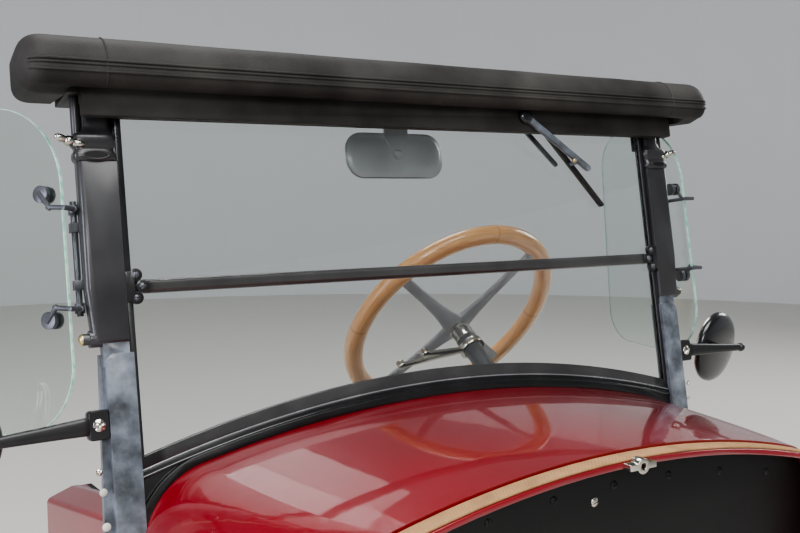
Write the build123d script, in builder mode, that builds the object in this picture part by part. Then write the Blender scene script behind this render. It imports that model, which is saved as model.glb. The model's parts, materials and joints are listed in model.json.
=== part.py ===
from build123d import *
from math import atan2, cos, degrees, radians, sin, sqrt
import os

# Front body section of an open touring car of the 1920s: scuttle, bulkhead, raked two-pane
# windscreen, header of the folding top, side wings, mirrors, dash and steering wheel.
# Millimetres. X to the car's left, Y to the rear, Z up.
# The origin is the centre of the four body bolts, on the underside of the body bearers.

# Body bolts and bearers
bolt_across = 660.0
bolt_along = 340.0
bolt_hole = 11.0
bearer_width = 60.0
bearer_height = 40.0

# Scuttle shell, its wall being the panel with its frame
wall = 12.0
crown_height = 624.0
front_y = -264.0
shut_line_y = 375.0
scuttle_rear_y = 200.0
cockpit_edge_height = 488.0
cockpit_corner_radius = 46.0
# columns: distance along the car, half width, fall of the crown, crown radius, shoulder radius
scuttle_sections = (
    (front_y, 397.0, 0.0, 1375.0, 73.0),
    (-90.0, 467.0, 0.0, 1600.0, 96.0),
    (116.0, 517.0, 3.0, 1860.0, 124.0),
    (shut_line_y, 552.0, 7.0, 2040.0, 136.0),
)

# Body sides, which step out behind the stanchions and slope along their top
side_inner = 255.0
side_edge_radius = 9.0
side_shoulder = 38.0
side_shoulder_rise = 15.0
# columns: distance along the car, half width, height of the outer edge
side_sections = ((30.0, 535.5, 525.5), (shut_line_y, 588.0, 474.0))
trim_thickness = 7.0

# Bulkhead, floor and toe board
bulkhead_thickness = 12.0
bulkhead_setback = 8.0
board_thickness = 18.0
toe_board_foot_y = -60.0
toe_board_rise = 200.0

# Bonnet ledge with its lacing, and the socket of the bonnet's hinge rod
ledge_width = 30.0
ledge_joggle = 6.0
ledge_thickness = 8.0
lacing_thickness = 3.5
lacing_width = 25.0
hinge_rod = 8.0
socket_outside = 20.0
socket_length = 14.0
socket_flange = 44.0

# Windscreen, drawn on its raked plane: across the car, up the plane, out to the front
screen_y = 180.0
screen_z = 820.0
screen_rake = 10.5
glass_half_width = 500.0
glass_thickness = 6.0
glass_seat = 5.0
upper_glass_height = 240.0
lower_glass_side = 234.0
lower_glass_centre = 162.0
rail_width = 9.0
frame_depth = 14.0
lower_rail_width = 22.0
mid_rail_height = 20.0
mid_rail_depth = 20.0
mid_rail_round = 7.0
bracket_thickness = 7.0
bracket_boss = 18.0
bracket_tip_inset = 13.0
bracket_lobe_inset = 14.0
bracket_lobe_rise = 16.0
bracket_foot_width = 12.0
bracket_foot_height = 42.0
gasket_depth = 18.0
gasket_foot = -352.0
lip_rise = 12.0
lip_depth = 30.0

# Posts: stanchion with its flange, upper post, and knuckle with the rod that enters the header
post_clear = 1.0
post_width = 54.0
post_break_width = 48.0
post_break = -72.0
post_bend = 0.0
post_top = 176.0
post_foot = -424.0
post_depth = 26.0
post_edge_radius = 8.0
stanchion_channel = 3.0
stanchion_width = 39.0
stanchion_top = -90.0
stanchion_top_radius = 14.0
stanchion_depth = 32.0
stanchion_neck_width = 36.0
stanchion_neck_depth = 20.0
flange_top_width = 43.0
flange_foot_width = 55.0
flange_depth = 12.0
pivot_height = -68.0
pivot_diameter = 24.0
pivot_overhang = 4.0
pivot_knob = 16.0
pivot_knob_length = 9.0
knuckle_height = 38.0
knuckle_overhang = 4.0
knuckle_chamfer = 7.0
knuckle_front = 17.0
knuckle_back = 15.0
neck_width = 34.0
neck_depth = 20.0
header_rod = 13.0
header_rod_inset = 4.0
rod_seat = 20.0
wing_bolt = 14.0
wing_bolt_reach = 9.0
wing_bolt_drop = 6.0
wing_bolt_span = 34.0
wing_bolt_width = 12.0
wing_bolt_thickness = 6.0

# Header of the folding top
header_bottom = 268.0
header_top = 296.0
header_overhang = 10.0
header_rear = -60.0
valance_bottom = 234.0
valance_inset = 6.0
valance_front = 38.0
valance_thickness = 14.0
valance_corner = 4.0
roll_cover = 6.0
roll_lip = 274.0
roll_rear_height = 333.0
# columns: distance in front of the screen's plane, height; the foot, nose and crown of the roll
roll_nose = ((60.0, 266.0), (76.0, 273.0), (81.0, 292.0), (68.0, 327.0), (28.0, 341.0))
roll_end_foot = 261.0
roll_end_heel = 275.0
# columns: distance beyond the end of the bow, share of the full section
roll_ends = ((0.0, 1.0), (32.0, 1.0), (54.0, 0.86), (64.0, 0.55))

# Wiper on the header, worked by a lever inside
wiper_x = 197.0
wiper_h = 259.0
wiper_spindle = 6.0
wiper_hub = 14.0
wiper_clear = 3.0
wiper_arm_end = (328.0, 168.0)
wiper_arm_width = 11.0
wiper_arm_depth = 7.0
wiper_blade_centre = (327.8, 168.7)
wiper_blade_length = 174.0
wiper_blade_width = 8.0
wiper_blade_depth = 6.0
wiper_blade_lean = 49.1
wiper_clip_centre = (316.0, 182.0)
wiper_clip = 8.0
wiper_rubber = 3.0
lever_elbow = (243.0, 248.0)
lever_end = (305.0, 187.0)
lever_width = 9.0
lever_thickness = 4.0
lever_clear = 14.0

# Interior mirror
mirror_width = 196.0
mirror_height = 80.0
mirror_depth = 10.0
mirror_corner = 32.0
mirror_x = 3.0
mirror_h = 214.0
mirror_back = 90.0
holder_plate = 4.0
holder_width = 60.0
holder_corner = 5.0
holder_foot_h = 222.0
holder_foot_width = 18.0
holder_top_h = 290.0
holder_top_width = 50.0
holder_block_height = 22.0

# Exterior mirrors on arms clamped to the stanchions
head_diameter = 150.0
head_out = 20.0
head_y = 225.0
head_z = 620.0
head_rim = 9.0
head_shell = 12.0
head_shell_taper = 40.0
head_cap = 80.0
head_cap_depth = 7.0
head_toe = 13.0
head_tilt = 7.0
arm_clamp_width = 28.0
arm_clamp_height = 40.0
arm_clamp_corner = 4.0
arm_h = -184.0
arm_back = 5.0
arm_depth = 10.0
arm_root = 26.0
arm_reach = 158.0
arm_end_h = -192.0
arm_tip = 13.0
arm_stem = 12.0

# Side wings of glass
wing_glass = 6.0
wing_bottom = -206.0
wing_height = 460.0
wing_length = 300.0
wing_rear_lean = 40.0
wing_top_radius = 125.0
wing_foot_radius = 95.0
wing_rear_radius = 70.0
wing_rod = 9.0
wing_rod_clear = 2.5
wing_rod_low = -35.0
wing_rod_high = 125.0
wing_bracket = 13.0
wing_bracket_heights = (88.0, 8.0)
wing_collar = 14.0
clamp_inset = 30.0
clamp_knob = 24.0
clamp_knob_depth = 7.0
clamp_pin = 8.0
clamp_bar = 7.0
clamp_lead = 10.0
clamp_stand_off = 9.5
# columns: height of the knob, height of the arm that carries it
clamps = ((131.0, 113.0), (-42.0, -24.0))
# columns: side of the car, its name, angle that the wing opens, and how far its front edge
# stands out from the post and in front of the screen's plane
wings = ((-1, "right", 38.0, 19.5, 0.0), (1, "left", 8.0, 24.7, 27.0))

# Steering
column_slope = 36.0
column_turn = 3.7
wheel_centre = (203.0, 426.0, 692.0)
wheel_rim_radius = 218.0
rim_across = 38.0
rim_thickness = 31.0
hub_drop = 26.0
hub_radius = 27.0
hub_height = 14.0
boss_radius = 18.0
boss_drop = 60.0
spoke_angles = (36.0, 124.0, 216.0, 304.0)
spoke_root_radius = 16.0
spoke_root_drop = 20.0
spoke_root = (30.0, 11.0)
spoke_tip_radius = 203.0
spoke_tip_drop = 8.0
spoke_tip = (20.0, 9.0)
spoke_corner = 3.0
column_outside = 36.0
column_length = 808.0
column_pin = 20.0
column_pin_length = 46.0
lever_collar = 52.0
lever_collar_drop = 86.0
lever_collar_height = 12.0
hand_lever_width = 9.0
hand_lever_thickness = 6.0
hand_lever_knob = 16.0
# columns: end of each hand lever, across and down the wheel's face
hand_levers = ((-157.0, 25.0), (-113.0, 0.0))
bracket_wall = 9.0
bracket_length = 22.0
bracket_stand_off = 12.0
bracket_plate_width = 64.0
bracket_plate_height = 92.0
bracket_plate_thickness = 10.0

# Instrument board
board_front_y = 184.0
board_depth = 14.0
board_bottom = 478.0
dial_depth = 9.0
dial_bezel = 6.0
dial_recess = 3.0
# columns: place across the board, height above its foot, bezel radius
dials = ((-40.0, 80.0, 42.0), (60.0, 78.0, 30.0), (-140.0, 76.0, 30.0))

running_gap = 0.3
seat_gap = 0.3

rail_half = glass_half_width + rail_width
post_inner = rail_half + post_clear
post_outer = post_inner + post_width
stanchion_inner = rail_half - stanchion_channel
stanchion_outer = stanchion_inner + stanchion_width
header_half_length = post_outer + header_overhang
beyond = 2 * crown_height

rake = radians(screen_rake)
screen = Plane(origin=(0, screen_y, screen_z), x_dir=(1, 0, 0), z_dir=(0, -cos(rake), sin(rake)))
up = screen.y_dir
forward = screen.z_dir
slope = radians(column_slope)
column_yaw = radians(column_turn)
wheel_plane = Plane(
    origin=wheel_centre,
    x_dir=(cos(column_yaw), sin(column_yaw), 0),
    z_dir=(-sin(column_yaw) * cos(slope), cos(column_yaw) * cos(slope), sin(slope)),
)
sides = ((-1, "right"), (1, "left"))


def on_screen(x, h, n):
    """A place given across the car, up the raked plane and out to its front."""
    return Vector(x, screen_y, screen_z) + up * h + forward * n


def screen_side(x):
    """A plane along the car at x, drawn with the front to its right and the raked height up."""
    return Plane(origin=(x, screen_y, screen_z), x_dir=forward, z_dir=(-1, 0, 0))


def across_screen(x, h, n, side):
    """A plane square across the car that faces outwards on the given side."""
    return Plane(origin=on_screen(side * x, h, n), x_dir=up, z_dir=(side, 0, 0))


def flat_bar(start, end, width):
    """A flat bar with round ends, from the middle of one end to the middle of the other."""
    run = Vector(*end) - Vector(*start)
    middle = Vector(*start) + run * 0.5
    lean = degrees(atan2(run.Y, run.X))
    flat = SlotCenterToCenter(run.length, width, mode=Mode.PRIVATE)
    return Pos(middle.X, middle.Y) * Rot(0, 0, lean) * flat


def bent_bar(places, diameter):
    """A round bar through several places, each length running on by its radius at a bend."""
    with BuildPart() as piece:
        for start, end in zip(places, places[1:]):
            run = (end - start).normalized() * (diameter / 2)
            with BuildSketch(Plane(origin=start - run, z_dir=run)):
                Circle(diameter / 2)
            extrude(amount=(end - start).length + diameter)
    return piece.part


def slab(outline, thickness):
    """An outline on the raked plane made a slab about the plane."""
    with BuildPart() as piece:
        with BuildSketch(screen):
            add(outline)
        extrude(amount=thickness / 2, both=True)
    return piece.part


def across_car(y, half_width, crown, crown_radius, shoulder_radius, inset=0.0, foot=0.0):
    """Outline across the car: flat foot, upright sides, rounded shoulders and a flat crown arc."""
    side = half_width - inset
    top = crown - inset
    big = crown_radius - inset
    small = shoulder_radius - inset
    shoulder_x = side - small
    centre_z = top - big
    shoulder_rise = sqrt((big - small) ** 2 - shoulder_x**2)
    shoulder_z = centre_z + shoulder_rise
    meet_x = shoulder_x * big / (big - small)
    meet_z = centre_z + shoulder_rise * big / (big - small)
    bend = atan2(shoulder_rise, shoulder_x) / 2
    middle = (shoulder_x + small * cos(bend), shoulder_z + small * sin(bend))
    with BuildSketch(Plane.XZ.offset(-y)) as outline:
        with BuildLine():
            Polyline((-side, shoulder_z), (-side, foot), (side, foot), (side, shoulder_z))
            ThreePointArc((side, shoulder_z), middle, (meet_x, meet_z))
            ThreePointArc((meet_x, meet_z), (0, top), (-meet_x, meet_z))
            ThreePointArc((-meet_x, meet_z), (-middle[0], middle[1]), (-side, shoulder_z))
        make_face()
    return outline.sketch


def scuttle_form(inset, foot):
    """The closed body form through all sections, drawn in by inset."""
    faces = [
        across_car(y, half_width, crown_height - fall, crown, shoulder, inset, foot)
        for y, half_width, fall, crown, shoulder in scuttle_sections
    ]
    with BuildPart() as form:
        loft(sections=faces)
    return form.part


outer_form = scuttle_form(0.0, 0.0)
inner_form = scuttle_form(wall, -bearer_height)
trim_form = scuttle_form(wall + trim_thickness, -2 * bearer_height)

# Scuttle with its sides, one panel from the bonnet to the door shut lines
with BuildPart() as scuttle_panel:
    add(outer_form)
    add(inner_form, mode=Mode.SUBTRACT)
    with BuildSketch(Plane.YZ) as cockpit:
        with BuildLine():
            Polyline(
                (scuttle_rear_y, crown_height + wall),
                (scuttle_rear_y, cockpit_edge_height),
                (shut_line_y + wall, cockpit_edge_height),
                (shut_line_y + wall, crown_height + wall),
                close=True,
            )
        make_face()
        corner = cockpit.vertices().sort_by_distance((scuttle_rear_y, cockpit_edge_height))[0]
        fillet(corner, cockpit_corner_radius)
    extrude(amount=beyond, both=True, mode=Mode.SUBTRACT)
scuttle_panel.part.label = "scuttle_panel"

# Body sides behind the stanchions, and the trim that lines the cockpit
body_sides = []
floor_top = bearer_height + board_thickness
for side, name in sides:
    faces = []
    for y, half_width, top in side_sections:
        with BuildSketch(Plane.XZ.offset(-y)) as face:
            with BuildLine():
                Polyline(
                    (side * side_inner, 0),
                    (side * half_width, 0),
                    (side * half_width, top),
                    (side * (half_width - side_shoulder), top + side_shoulder_rise),
                    (side * side_inner, top + side_shoulder_rise),
                    close=True,
                )
            make_face()
        faces.append(face.sketch)
    with BuildPart() as body_side:
        loft(sections=faces, ruled=True)
        lengthways = body_side.edges().filter_by(lambda e: abs(e.tangent_at(0.5).Y) > 0.9)
        outermost = lengthways.sort_by(lambda e: -side * e.center().X)[:2]
        fillet(outermost.sort_by(Axis.Z)[-1], side_edge_radius)
        add(outer_form, mode=Mode.SUBTRACT)
        with BuildSketch(screen.offset(-stanchion_depth / 2)):
            Rectangle(2 * beyond, 2 * beyond)
        extrude(amount=beyond, mode=Mode.SUBTRACT)
    body_side.part.label = "body_side_" + name
    body_sides.append(body_side.part)

    with BuildPart() as side_trim:
        add(inner_form)
        add(trim_form, mode=Mode.SUBTRACT)
        with BuildSketch(Plane.XZ.offset(-scuttle_rear_y)):
            with Locations((side * beyond / 2, (floor_top + cockpit_edge_height) / 2)):
                Rectangle(beyond, cockpit_edge_height - floor_top)
        extrude(amount=scuttle_rear_y - shut_line_y, mode=Mode.INTERSECT)
    side_trim.part.label = "side_trim_" + name
    body_sides.append(side_trim.part)

# Bulkhead, set back behind the ledge
bulkhead_front = front_y + bulkhead_setback
bulkhead_rear = bulkhead_front + bulkhead_thickness
with BuildPart() as bulkhead:
    with BuildSketch(Plane.XZ.offset(-bulkhead_front)):
        Rectangle(beyond, 2 * crown_height)
    extrude(amount=-bulkhead_thickness)
    add(inner_form, mode=Mode.INTERSECT)
    split(bisect_by=Plane.XY, keep=Keep.TOP)
bulkhead.part.label = "bulkhead"

# Toe board sloping from the bulkhead to the floor, with the hole of the steering column
with BuildPart() as toe_board:
    with BuildSketch(Plane.YZ):
        with BuildLine():
            Polyline(
                (toe_board_foot_y, bearer_height),
                (toe_board_foot_y, floor_top),
                (bulkhead_rear, floor_top + toe_board_rise),
                (bulkhead_rear, bearer_height + toe_board_rise),
                close=True,
            )
        make_face()
    extrude(amount=beyond / 2, both=True)
    add(inner_form, mode=Mode.INTERSECT)
    with BuildSketch(wheel_plane):
        Circle(column_outside / 2 + seat_gap)
    extrude(amount=-beyond, mode=Mode.SUBTRACT)
toe_board.part.label = "toe_board"

with BuildPart() as floor_board:
    with BuildSketch(Plane.XY.offset(bearer_height)):
        with Locations((0, (toe_board_foot_y + shut_line_y) / 2)):
            Rectangle(beyond, shut_line_y - toe_board_foot_y)
    extrude(amount=board_thickness)
    add(inner_form, mode=Mode.INTERSECT)
floor_board.part.label = "floor_board"

# Bearers that cross the body and take the bolts
bearers = []
for name, bearer_y in (("bearer_front", -bolt_along / 2), ("bearer_rear", bolt_along / 2)):
    with BuildPart() as bearer:
        with BuildSketch(Plane.XY):
            with Locations((0, bearer_y)):
                Rectangle(beyond, bearer_width)
        extrude(amount=bearer_height)
        add(inner_form, mode=Mode.INTERSECT)
        with Locations((0, bearer_y, 0)):
            with GridLocations(bolt_across, 1, 2, 1):
                Cylinder(bolt_hole / 2, 3 * bearer_height, mode=Mode.SUBTRACT)
    bearer.part.label = name
    bearers.append(bearer.part)

# Ledge in front of the scuttle, on which the bonnet's rear edge lies
front_row = scuttle_sections[0]
ledge_front = front_y - ledge_width


def ledge_band(start, length, outer_inset, inner_inset):
    """A band round the front of the scuttle, from one inset to another."""
    y, half_width, fall, crown, shoulder = front_row
    crown_z = crown_height - fall
    with BuildPart() as band:
        with BuildSketch(Plane.XZ.offset(-start)):
            add(across_car(0, half_width, crown_z, crown, shoulder, outer_inset))
            add(across_car(0, half_width, crown_z, crown, shoulder, inner_inset, -wall), mode=Mode.SUBTRACT)
        extrude(amount=-length)
    return band.part


bonnet_ledge = ledge_band(ledge_front, ledge_width, ledge_joggle, ledge_joggle + ledge_thickness)
bonnet_ledge.label = "bonnet_ledge"
lacing_start = ledge_front + (ledge_width - lacing_width) / 2
bonnet_lacing = ledge_band(lacing_start, lacing_width, ledge_joggle - lacing_thickness, ledge_joggle)
bonnet_lacing.label = "bonnet_lacing"

socket_z = crown_height - ledge_joggle - ledge_thickness / 2
with BuildPart() as hinge_socket:
    with BuildSketch(Plane.XZ.offset(-ledge_front)):
        with Locations((0, socket_z)):
            Circle(socket_outside / 2)
            Rectangle(socket_flange, ledge_thickness)
    extrude(amount=socket_length)
    with BuildSketch(Plane.XZ.offset(-ledge_front)):
        with Locations((0, socket_z)):
            Circle(hinge_rod / 2 + running_gap)
    extrude(amount=socket_length, mode=Mode.SUBTRACT)
hinge_socket.part.label = "hinge_socket"

# Instrument board under the rear of the scuttle
board_rear_y = board_front_y + board_depth
with BuildPart() as instrument_board:
    with BuildSketch(Plane.XZ.offset(-board_front_y)):
        with Locations((0, board_bottom)):
            Rectangle(beyond, crown_height, align=(Align.CENTER, Align.MIN))
    extrude(amount=-board_depth)
    add(inner_form, mode=Mode.INTERSECT)
    with BuildSketch(wheel_plane):
        Circle(column_outside / 2 + seat_gap)
    extrude(amount=-column_length, mode=Mode.SUBTRACT)
instrument_board.part.label = "instrument_board"

with BuildPart() as instruments:
    for x, rise, radius in dials:
        dial_z = board_bottom + rise
        with BuildSketch(Plane.XZ.offset(-board_rear_y)):
            with Locations((x, dial_z)):
                Circle(radius)
        extrude(amount=-dial_depth)
        with BuildSketch(Plane.XZ.offset(-board_rear_y - dial_depth)):
            with Locations((x, dial_z)):
                Circle(radius - dial_bezel)
        extrude(amount=dial_recess, mode=Mode.SUBTRACT)
instruments.part.label = "instruments"


def square_pane(bottom, top, grow):
    """Outline of a square pane on the raked plane, grown all round."""
    with BuildSketch() as outline:
        with Locations((0, (bottom + top) / 2)):
            Rectangle(2 * (glass_half_width + grow), top - bottom + 2 * grow)
    return outline.sketch


def arched_pane(top, foot_side, foot_centre, half):
    """Outline on the raked plane with its foot arched over the scuttle."""
    with BuildSketch() as outline:
        with BuildLine():
            Polyline((half, foot_side), (half, top), (-half, top), (-half, foot_side))
            ThreePointArc((-half, foot_side), (0, foot_centre), (half, foot_side))
        make_face()
    return outline.sketch


half_rail = mid_rail_height / 2
rail_foot_side = -lower_glass_side - lower_rail_width
rail_foot_centre = -lower_glass_centre - lower_rail_width
upper_glass = slab(square_pane(half_rail, upper_glass_height, glass_seat), glass_thickness)
upper_glass.label = "upper_glass"
lower_glass = slab(
    arched_pane(
        glass_seat - half_rail,
        -lower_glass_side - glass_seat,
        -lower_glass_centre - glass_seat,
        glass_half_width + glass_seat,
    ),
    glass_thickness,
)
lower_glass.label = "lower_glass"

with BuildPart() as upper_frame:
    with BuildSketch(screen):
        add(square_pane(half_rail + rail_width, upper_glass_height, rail_width))
        add(square_pane(half_rail, upper_glass_height, 0), mode=Mode.SUBTRACT)
    extrude(amount=frame_depth / 2, both=True)
    add(upper_glass, mode=Mode.SUBTRACT)
upper_frame.part.label = "upper_frame"

lower_opening = arched_pane(-half_rail, -lower_glass_side, -lower_glass_centre, glass_half_width)
with BuildPart() as lower_frame:
    with BuildSketch(screen):
        add(arched_pane(-half_rail, rail_foot_side, rail_foot_centre, rail_half))
        add(lower_opening, mode=Mode.SUBTRACT)
    extrude(amount=frame_depth / 2, both=True)
    add(lower_glass, mode=Mode.SUBTRACT)
lower_frame.part.label = "lower_frame"

# Rail between the panes, with a three-lobed bracket at each end
with BuildPart() as mid_rail:
    with BuildSketch(screen):
        Rectangle(2 * rail_half, mid_rail_height)
    extrude(amount=mid_rail_depth / 2, both=True)
    fillet(mid_rail.edges().filter_by(Axis.X), mid_rail_round)
    with BuildSketch(screen.offset(frame_depth / 2)):
        for side, name in sides:
            lobe_x = side * (post_inner - bracket_lobe_inset)
            with Locations(
                (side * (glass_half_width - bracket_tip_inset), 0),
                (lobe_x, bracket_lobe_rise),
                (lobe_x, -bracket_lobe_rise),
            ):
                Circle(bracket_boss / 2)
            with Locations((side * (post_inner - bracket_foot_width / 2), 0)):
                Rectangle(bracket_foot_width, bracket_foot_height)
    extrude(amount=bracket_thickness)
    add(upper_glass, mode=Mode.SUBTRACT)
    add(lower_glass, mode=Mode.SUBTRACT)
mid_rail.part.label = "mid_rail"

# Rubber gasket between the lower frame and the scuttle, with a lip that hugs the scuttle
with BuildSketch() as lip_band:
    with Locations((0, gasket_foot)):
        Rectangle(2 * rail_half, -gasket_foot, align=(Align.CENTER, Align.MIN))
with BuildPart() as gasket_lip:
    add(scuttle_form(-lip_rise, 0.0))
    add(slab(lip_band.sketch, lip_depth), mode=Mode.INTERSECT)
with BuildPart() as screen_gasket:
    with BuildSketch(screen):
        with BuildLine():
            Polyline(
                (rail_half, rail_foot_side),
                (rail_half, gasket_foot),
                (-rail_half, gasket_foot),
                (-rail_half, rail_foot_side),
            )
            ThreePointArc(
                (-rail_half, rail_foot_side), (0, rail_foot_centre), (rail_half, rail_foot_side)
            )
        make_face()
    extrude(amount=gasket_depth / 2, both=True)
    add(gasket_lip.part)
    add(outer_form, mode=Mode.SUBTRACT)
screen_gasket.part.label = "screen_gasket"

# Posts, left and right alike
posts = []
knuckle_top = post_top + knuckle_height
knuckle_outer = post_outer + knuckle_overhang
header_rod_x = post_outer - header_rod_inset
for side, name in sides:
    with BuildPart() as upper_post:
        with BuildSketch(screen):
            with BuildLine():
                Polyline(
                    (side * post_inner, post_break),
                    (side * (post_inner + post_break_width), post_break),
                    (side * post_outer, post_bend),
                    (side * post_outer, post_top),
                    (side * post_inner, post_top),
                    close=True,
                )
            make_face()
        extrude(amount=post_depth / 2, both=True)
        upright = upper_post.edges().filter_by(lambda e: e.length > 2 * post_depth)
        outer_edges = upright.filter_by(lambda e: abs(e.center().X) > (post_inner + post_outer) / 2)
        fillet(outer_edges, post_edge_radius)
        with BuildSketch(across_screen(post_inner, pivot_height, 0, side)):
            Circle(pivot_diameter / 2)
        extrude(amount=post_break_width + pivot_overhang)
        pivot_end = post_inner + post_break_width + pivot_overhang
        with BuildSketch(across_screen(pivot_end, pivot_height, 0, side)):
            Circle(pivot_knob / 2)
        extrude(amount=pivot_knob_length)
    upper_post.part.label = "upper_post_" + name

    with BuildPart() as stanchion:
        with BuildSketch(screen) as trunk:
            with BuildLine():
                Polyline(
                    (side * stanchion_inner, post_foot),
                    (side * stanchion_outer, post_foot),
                    (side * stanchion_outer, stanchion_top),
                    (side * stanchion_inner, stanchion_top),
                    close=True,
                )
            make_face()
            corner = trunk.vertices().sort_by_distance((side * stanchion_outer, stanchion_top))[0]
            fillet(corner, stanchion_top_radius)
        extrude(amount=stanchion_depth / 2, both=True)
        with BuildSketch(screen.offset(-stanchion_depth / 2)):
            with BuildLine():
                Polyline(
                    (side * stanchion_inner, post_foot),
                    (side * (stanchion_inner + flange_foot_width), post_foot),
                    (side * (stanchion_inner + flange_top_width), stanchion_top),
                    (side * stanchion_inner, stanchion_top),
                    close=True,
                )
            make_face()
        extrude(amount=flange_depth)
        with BuildSketch(screen):
            with Locations((side * (post_inner + stanchion_neck_width / 2), stanchion_top)):
                Rectangle(stanchion_neck_width, 2 * (post_break - stanchion_top))
        extrude(amount=stanchion_neck_depth / 2, both=True)
        add(upper_post.part, mode=Mode.SUBTRACT)
        add(outer_form, mode=Mode.SUBTRACT)
        add(screen_gasket.part, mode=Mode.SUBTRACT)
        add(lower_frame.part, mode=Mode.SUBTRACT)
    stanchion.part.label = "stanchion_" + name

    neck_x = post_inner + knuckle_chamfer + neck_width / 2
    bolt_h = knuckle_top - wing_bolt_drop
    bolt_end = knuckle_outer + wing_bolt_reach
    with BuildPart() as knuckle:
        with BuildSketch(screen.offset(-knuckle_back)) as collar:
            with Locations((side * (post_inner + knuckle_outer) / 2, (post_top + knuckle_top) / 2)):
                Rectangle(knuckle_outer - post_inner, knuckle_height)
            chamfer(collar.vertices(), knuckle_chamfer)
        extrude(amount=knuckle_back + knuckle_front)
        with BuildSketch(screen):
            with Locations((side * neck_x, (knuckle_top + header_bottom) / 2)):
                Rectangle(neck_width, header_bottom - knuckle_top)
        extrude(amount=neck_depth / 2, both=True)
        with BuildSketch(Plane(origin=on_screen(side * header_rod_x, bolt_h, 0), z_dir=up)):
            Circle(header_rod / 2)
        extrude(amount=header_bottom + rod_seat - bolt_h)
        with BuildSketch(across_screen(header_rod_x, bolt_h, 0, side)):
            Circle(wing_bolt / 2)
        extrude(amount=bolt_end - header_rod_x)
        with BuildSketch(across_screen(bolt_end - wing_bolt_thickness, bolt_h, 0, side)):
            SlotOverall(wing_bolt_span, wing_bolt_width, rotation=90)
        extrude(amount=wing_bolt_thickness)
    knuckle.part.label = "post_knuckle_" + name
    posts += [stanchion.part, upper_post.part, knuckle.part]

# Header: bow across the posts, valance board in front, padded roll over both
bow_front = valance_front - valance_thickness
with BuildPart() as header_bow:
    with BuildSketch(screen_side(header_half_length)):
        with Locations(((header_rear + bow_front) / 2, (header_bottom + header_top) / 2)):
            Rectangle(bow_front - header_rear, header_top - header_bottom)
    extrude(amount=2 * header_half_length)
    for side, name in sides:
        with BuildSketch(Plane(origin=on_screen(side * header_rod_x, header_bottom, 0), z_dir=up)):
            Circle(header_rod / 2 + seat_gap)
        extrude(amount=rod_seat + seat_gap, mode=Mode.SUBTRACT)
header_bow.part.label = "header_bow"

with BuildPart() as header_valance:
    with BuildSketch(screen.offset(bow_front)):
        with Locations((0, (valance_bottom + header_top) / 2)):
            RectangleRounded(2 * (post_outer - valance_inset), header_top - valance_bottom, valance_corner)
    extrude(amount=valance_thickness)
    with BuildSketch(screen.offset(bow_front)):
        with Locations((wiper_x, wiper_h)):
            Circle(wiper_spindle / 2 + seat_gap)
    extrude(amount=valance_thickness, mode=Mode.SUBTRACT)
header_valance.part.label = "header_valance"

roll_rear = header_rear - roll_cover
roll_middle = Vector((roll_rear + roll_nose[2][0]) / 2, (roll_end_foot + roll_nose[4][1]) / 2)


def roll_face(x, foot, share=1.0):
    """The roll's section at x over a given foot, drawn in about its middle to a share."""
    rest = [(roll_rear, roll_rear_height), *foot, *roll_nose]
    places = [roll_middle + (Vector(*place) - roll_middle) * share for place in rest]
    with BuildSketch(screen_side(x)) as outline:
        with BuildLine():
            Polyline(places[-1], *places[:-4])
            ThreePointArc(*places[-5:-2])
            ThreePointArc(*places[-3:])
        make_face()
    return outline.sketch


seat_foot = ((roll_rear, header_top), (valance_front, header_top), (valance_front, roll_lip))
end_foot = ((roll_rear, roll_end_heel), (valance_front, roll_end_foot))
with BuildPart() as header_roll:
    extrude(roll_face(header_half_length, seat_foot), amount=2 * header_half_length)
    for side, name in sides:
        steps = [roll_face(side * (header_half_length + x), end_foot, share) for x, share in roll_ends]
        loft(sections=steps, ruled=True)
header_roll.part.label = "header_roll"

# Wiper: spindle with its inner lever, outer arm and blade
wiper_out = valance_front + wiper_clear
lever_back = frame_depth / 2 + lever_clear
with BuildPart() as wiper_shaft:
    with BuildSketch(screen.offset(-lever_back)):
        with Locations((wiper_x, wiper_h)):
            Circle(wiper_spindle / 2)
    extrude(amount=lever_back + wiper_out + wiper_arm_depth)
    with BuildSketch(screen.offset(-lever_back)):
        add(flat_bar((wiper_x, wiper_h), lever_elbow, lever_width))
        add(flat_bar(lever_elbow, lever_end, lever_width))
    extrude(amount=lever_thickness)
wiper_shaft.part.label = "wiper_spindle"

holder_back = frame_depth / 2 + wiper_clear / 2
blade_front = holder_back + wiper_blade_depth
with BuildPart() as wiper_arm:
    with BuildSketch(screen.offset(wiper_out)):
        with Locations((wiper_x, wiper_h)):
            Circle(wiper_hub / 2)
        add(flat_bar((wiper_x, wiper_h), wiper_arm_end, wiper_arm_width))
    extrude(amount=wiper_arm_depth)
    with BuildSketch(screen.offset(blade_front)):
        with Locations(wiper_clip_centre):
            Circle(wiper_clip / 2)
    extrude(amount=wiper_out - blade_front)
    with BuildSketch(screen.offset(wiper_out)):
        with Locations((wiper_x, wiper_h)):
            Circle(wiper_spindle / 2)
    extrude(amount=wiper_arm_depth, mode=Mode.SUBTRACT)
wiper_arm.part.label = "wiper_arm"

with BuildPart() as wiper_blade:
    with BuildSketch(screen.offset(glass_thickness / 2 + running_gap)):
        with Locations(Location(wiper_blade_centre, -wiper_blade_lean)):
            Rectangle(wiper_blade_length, wiper_rubber)
    extrude(amount=holder_back - glass_thickness / 2 - running_gap)
    with BuildSketch(screen.offset(holder_back)):
        with Locations(Location(wiper_blade_centre, -wiper_blade_lean)):
            SlotOverall(wiper_blade_length, wiper_blade_width)
    extrude(amount=wiper_blade_depth)
wiper_blade.part.label = "wiper_blade"

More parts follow.
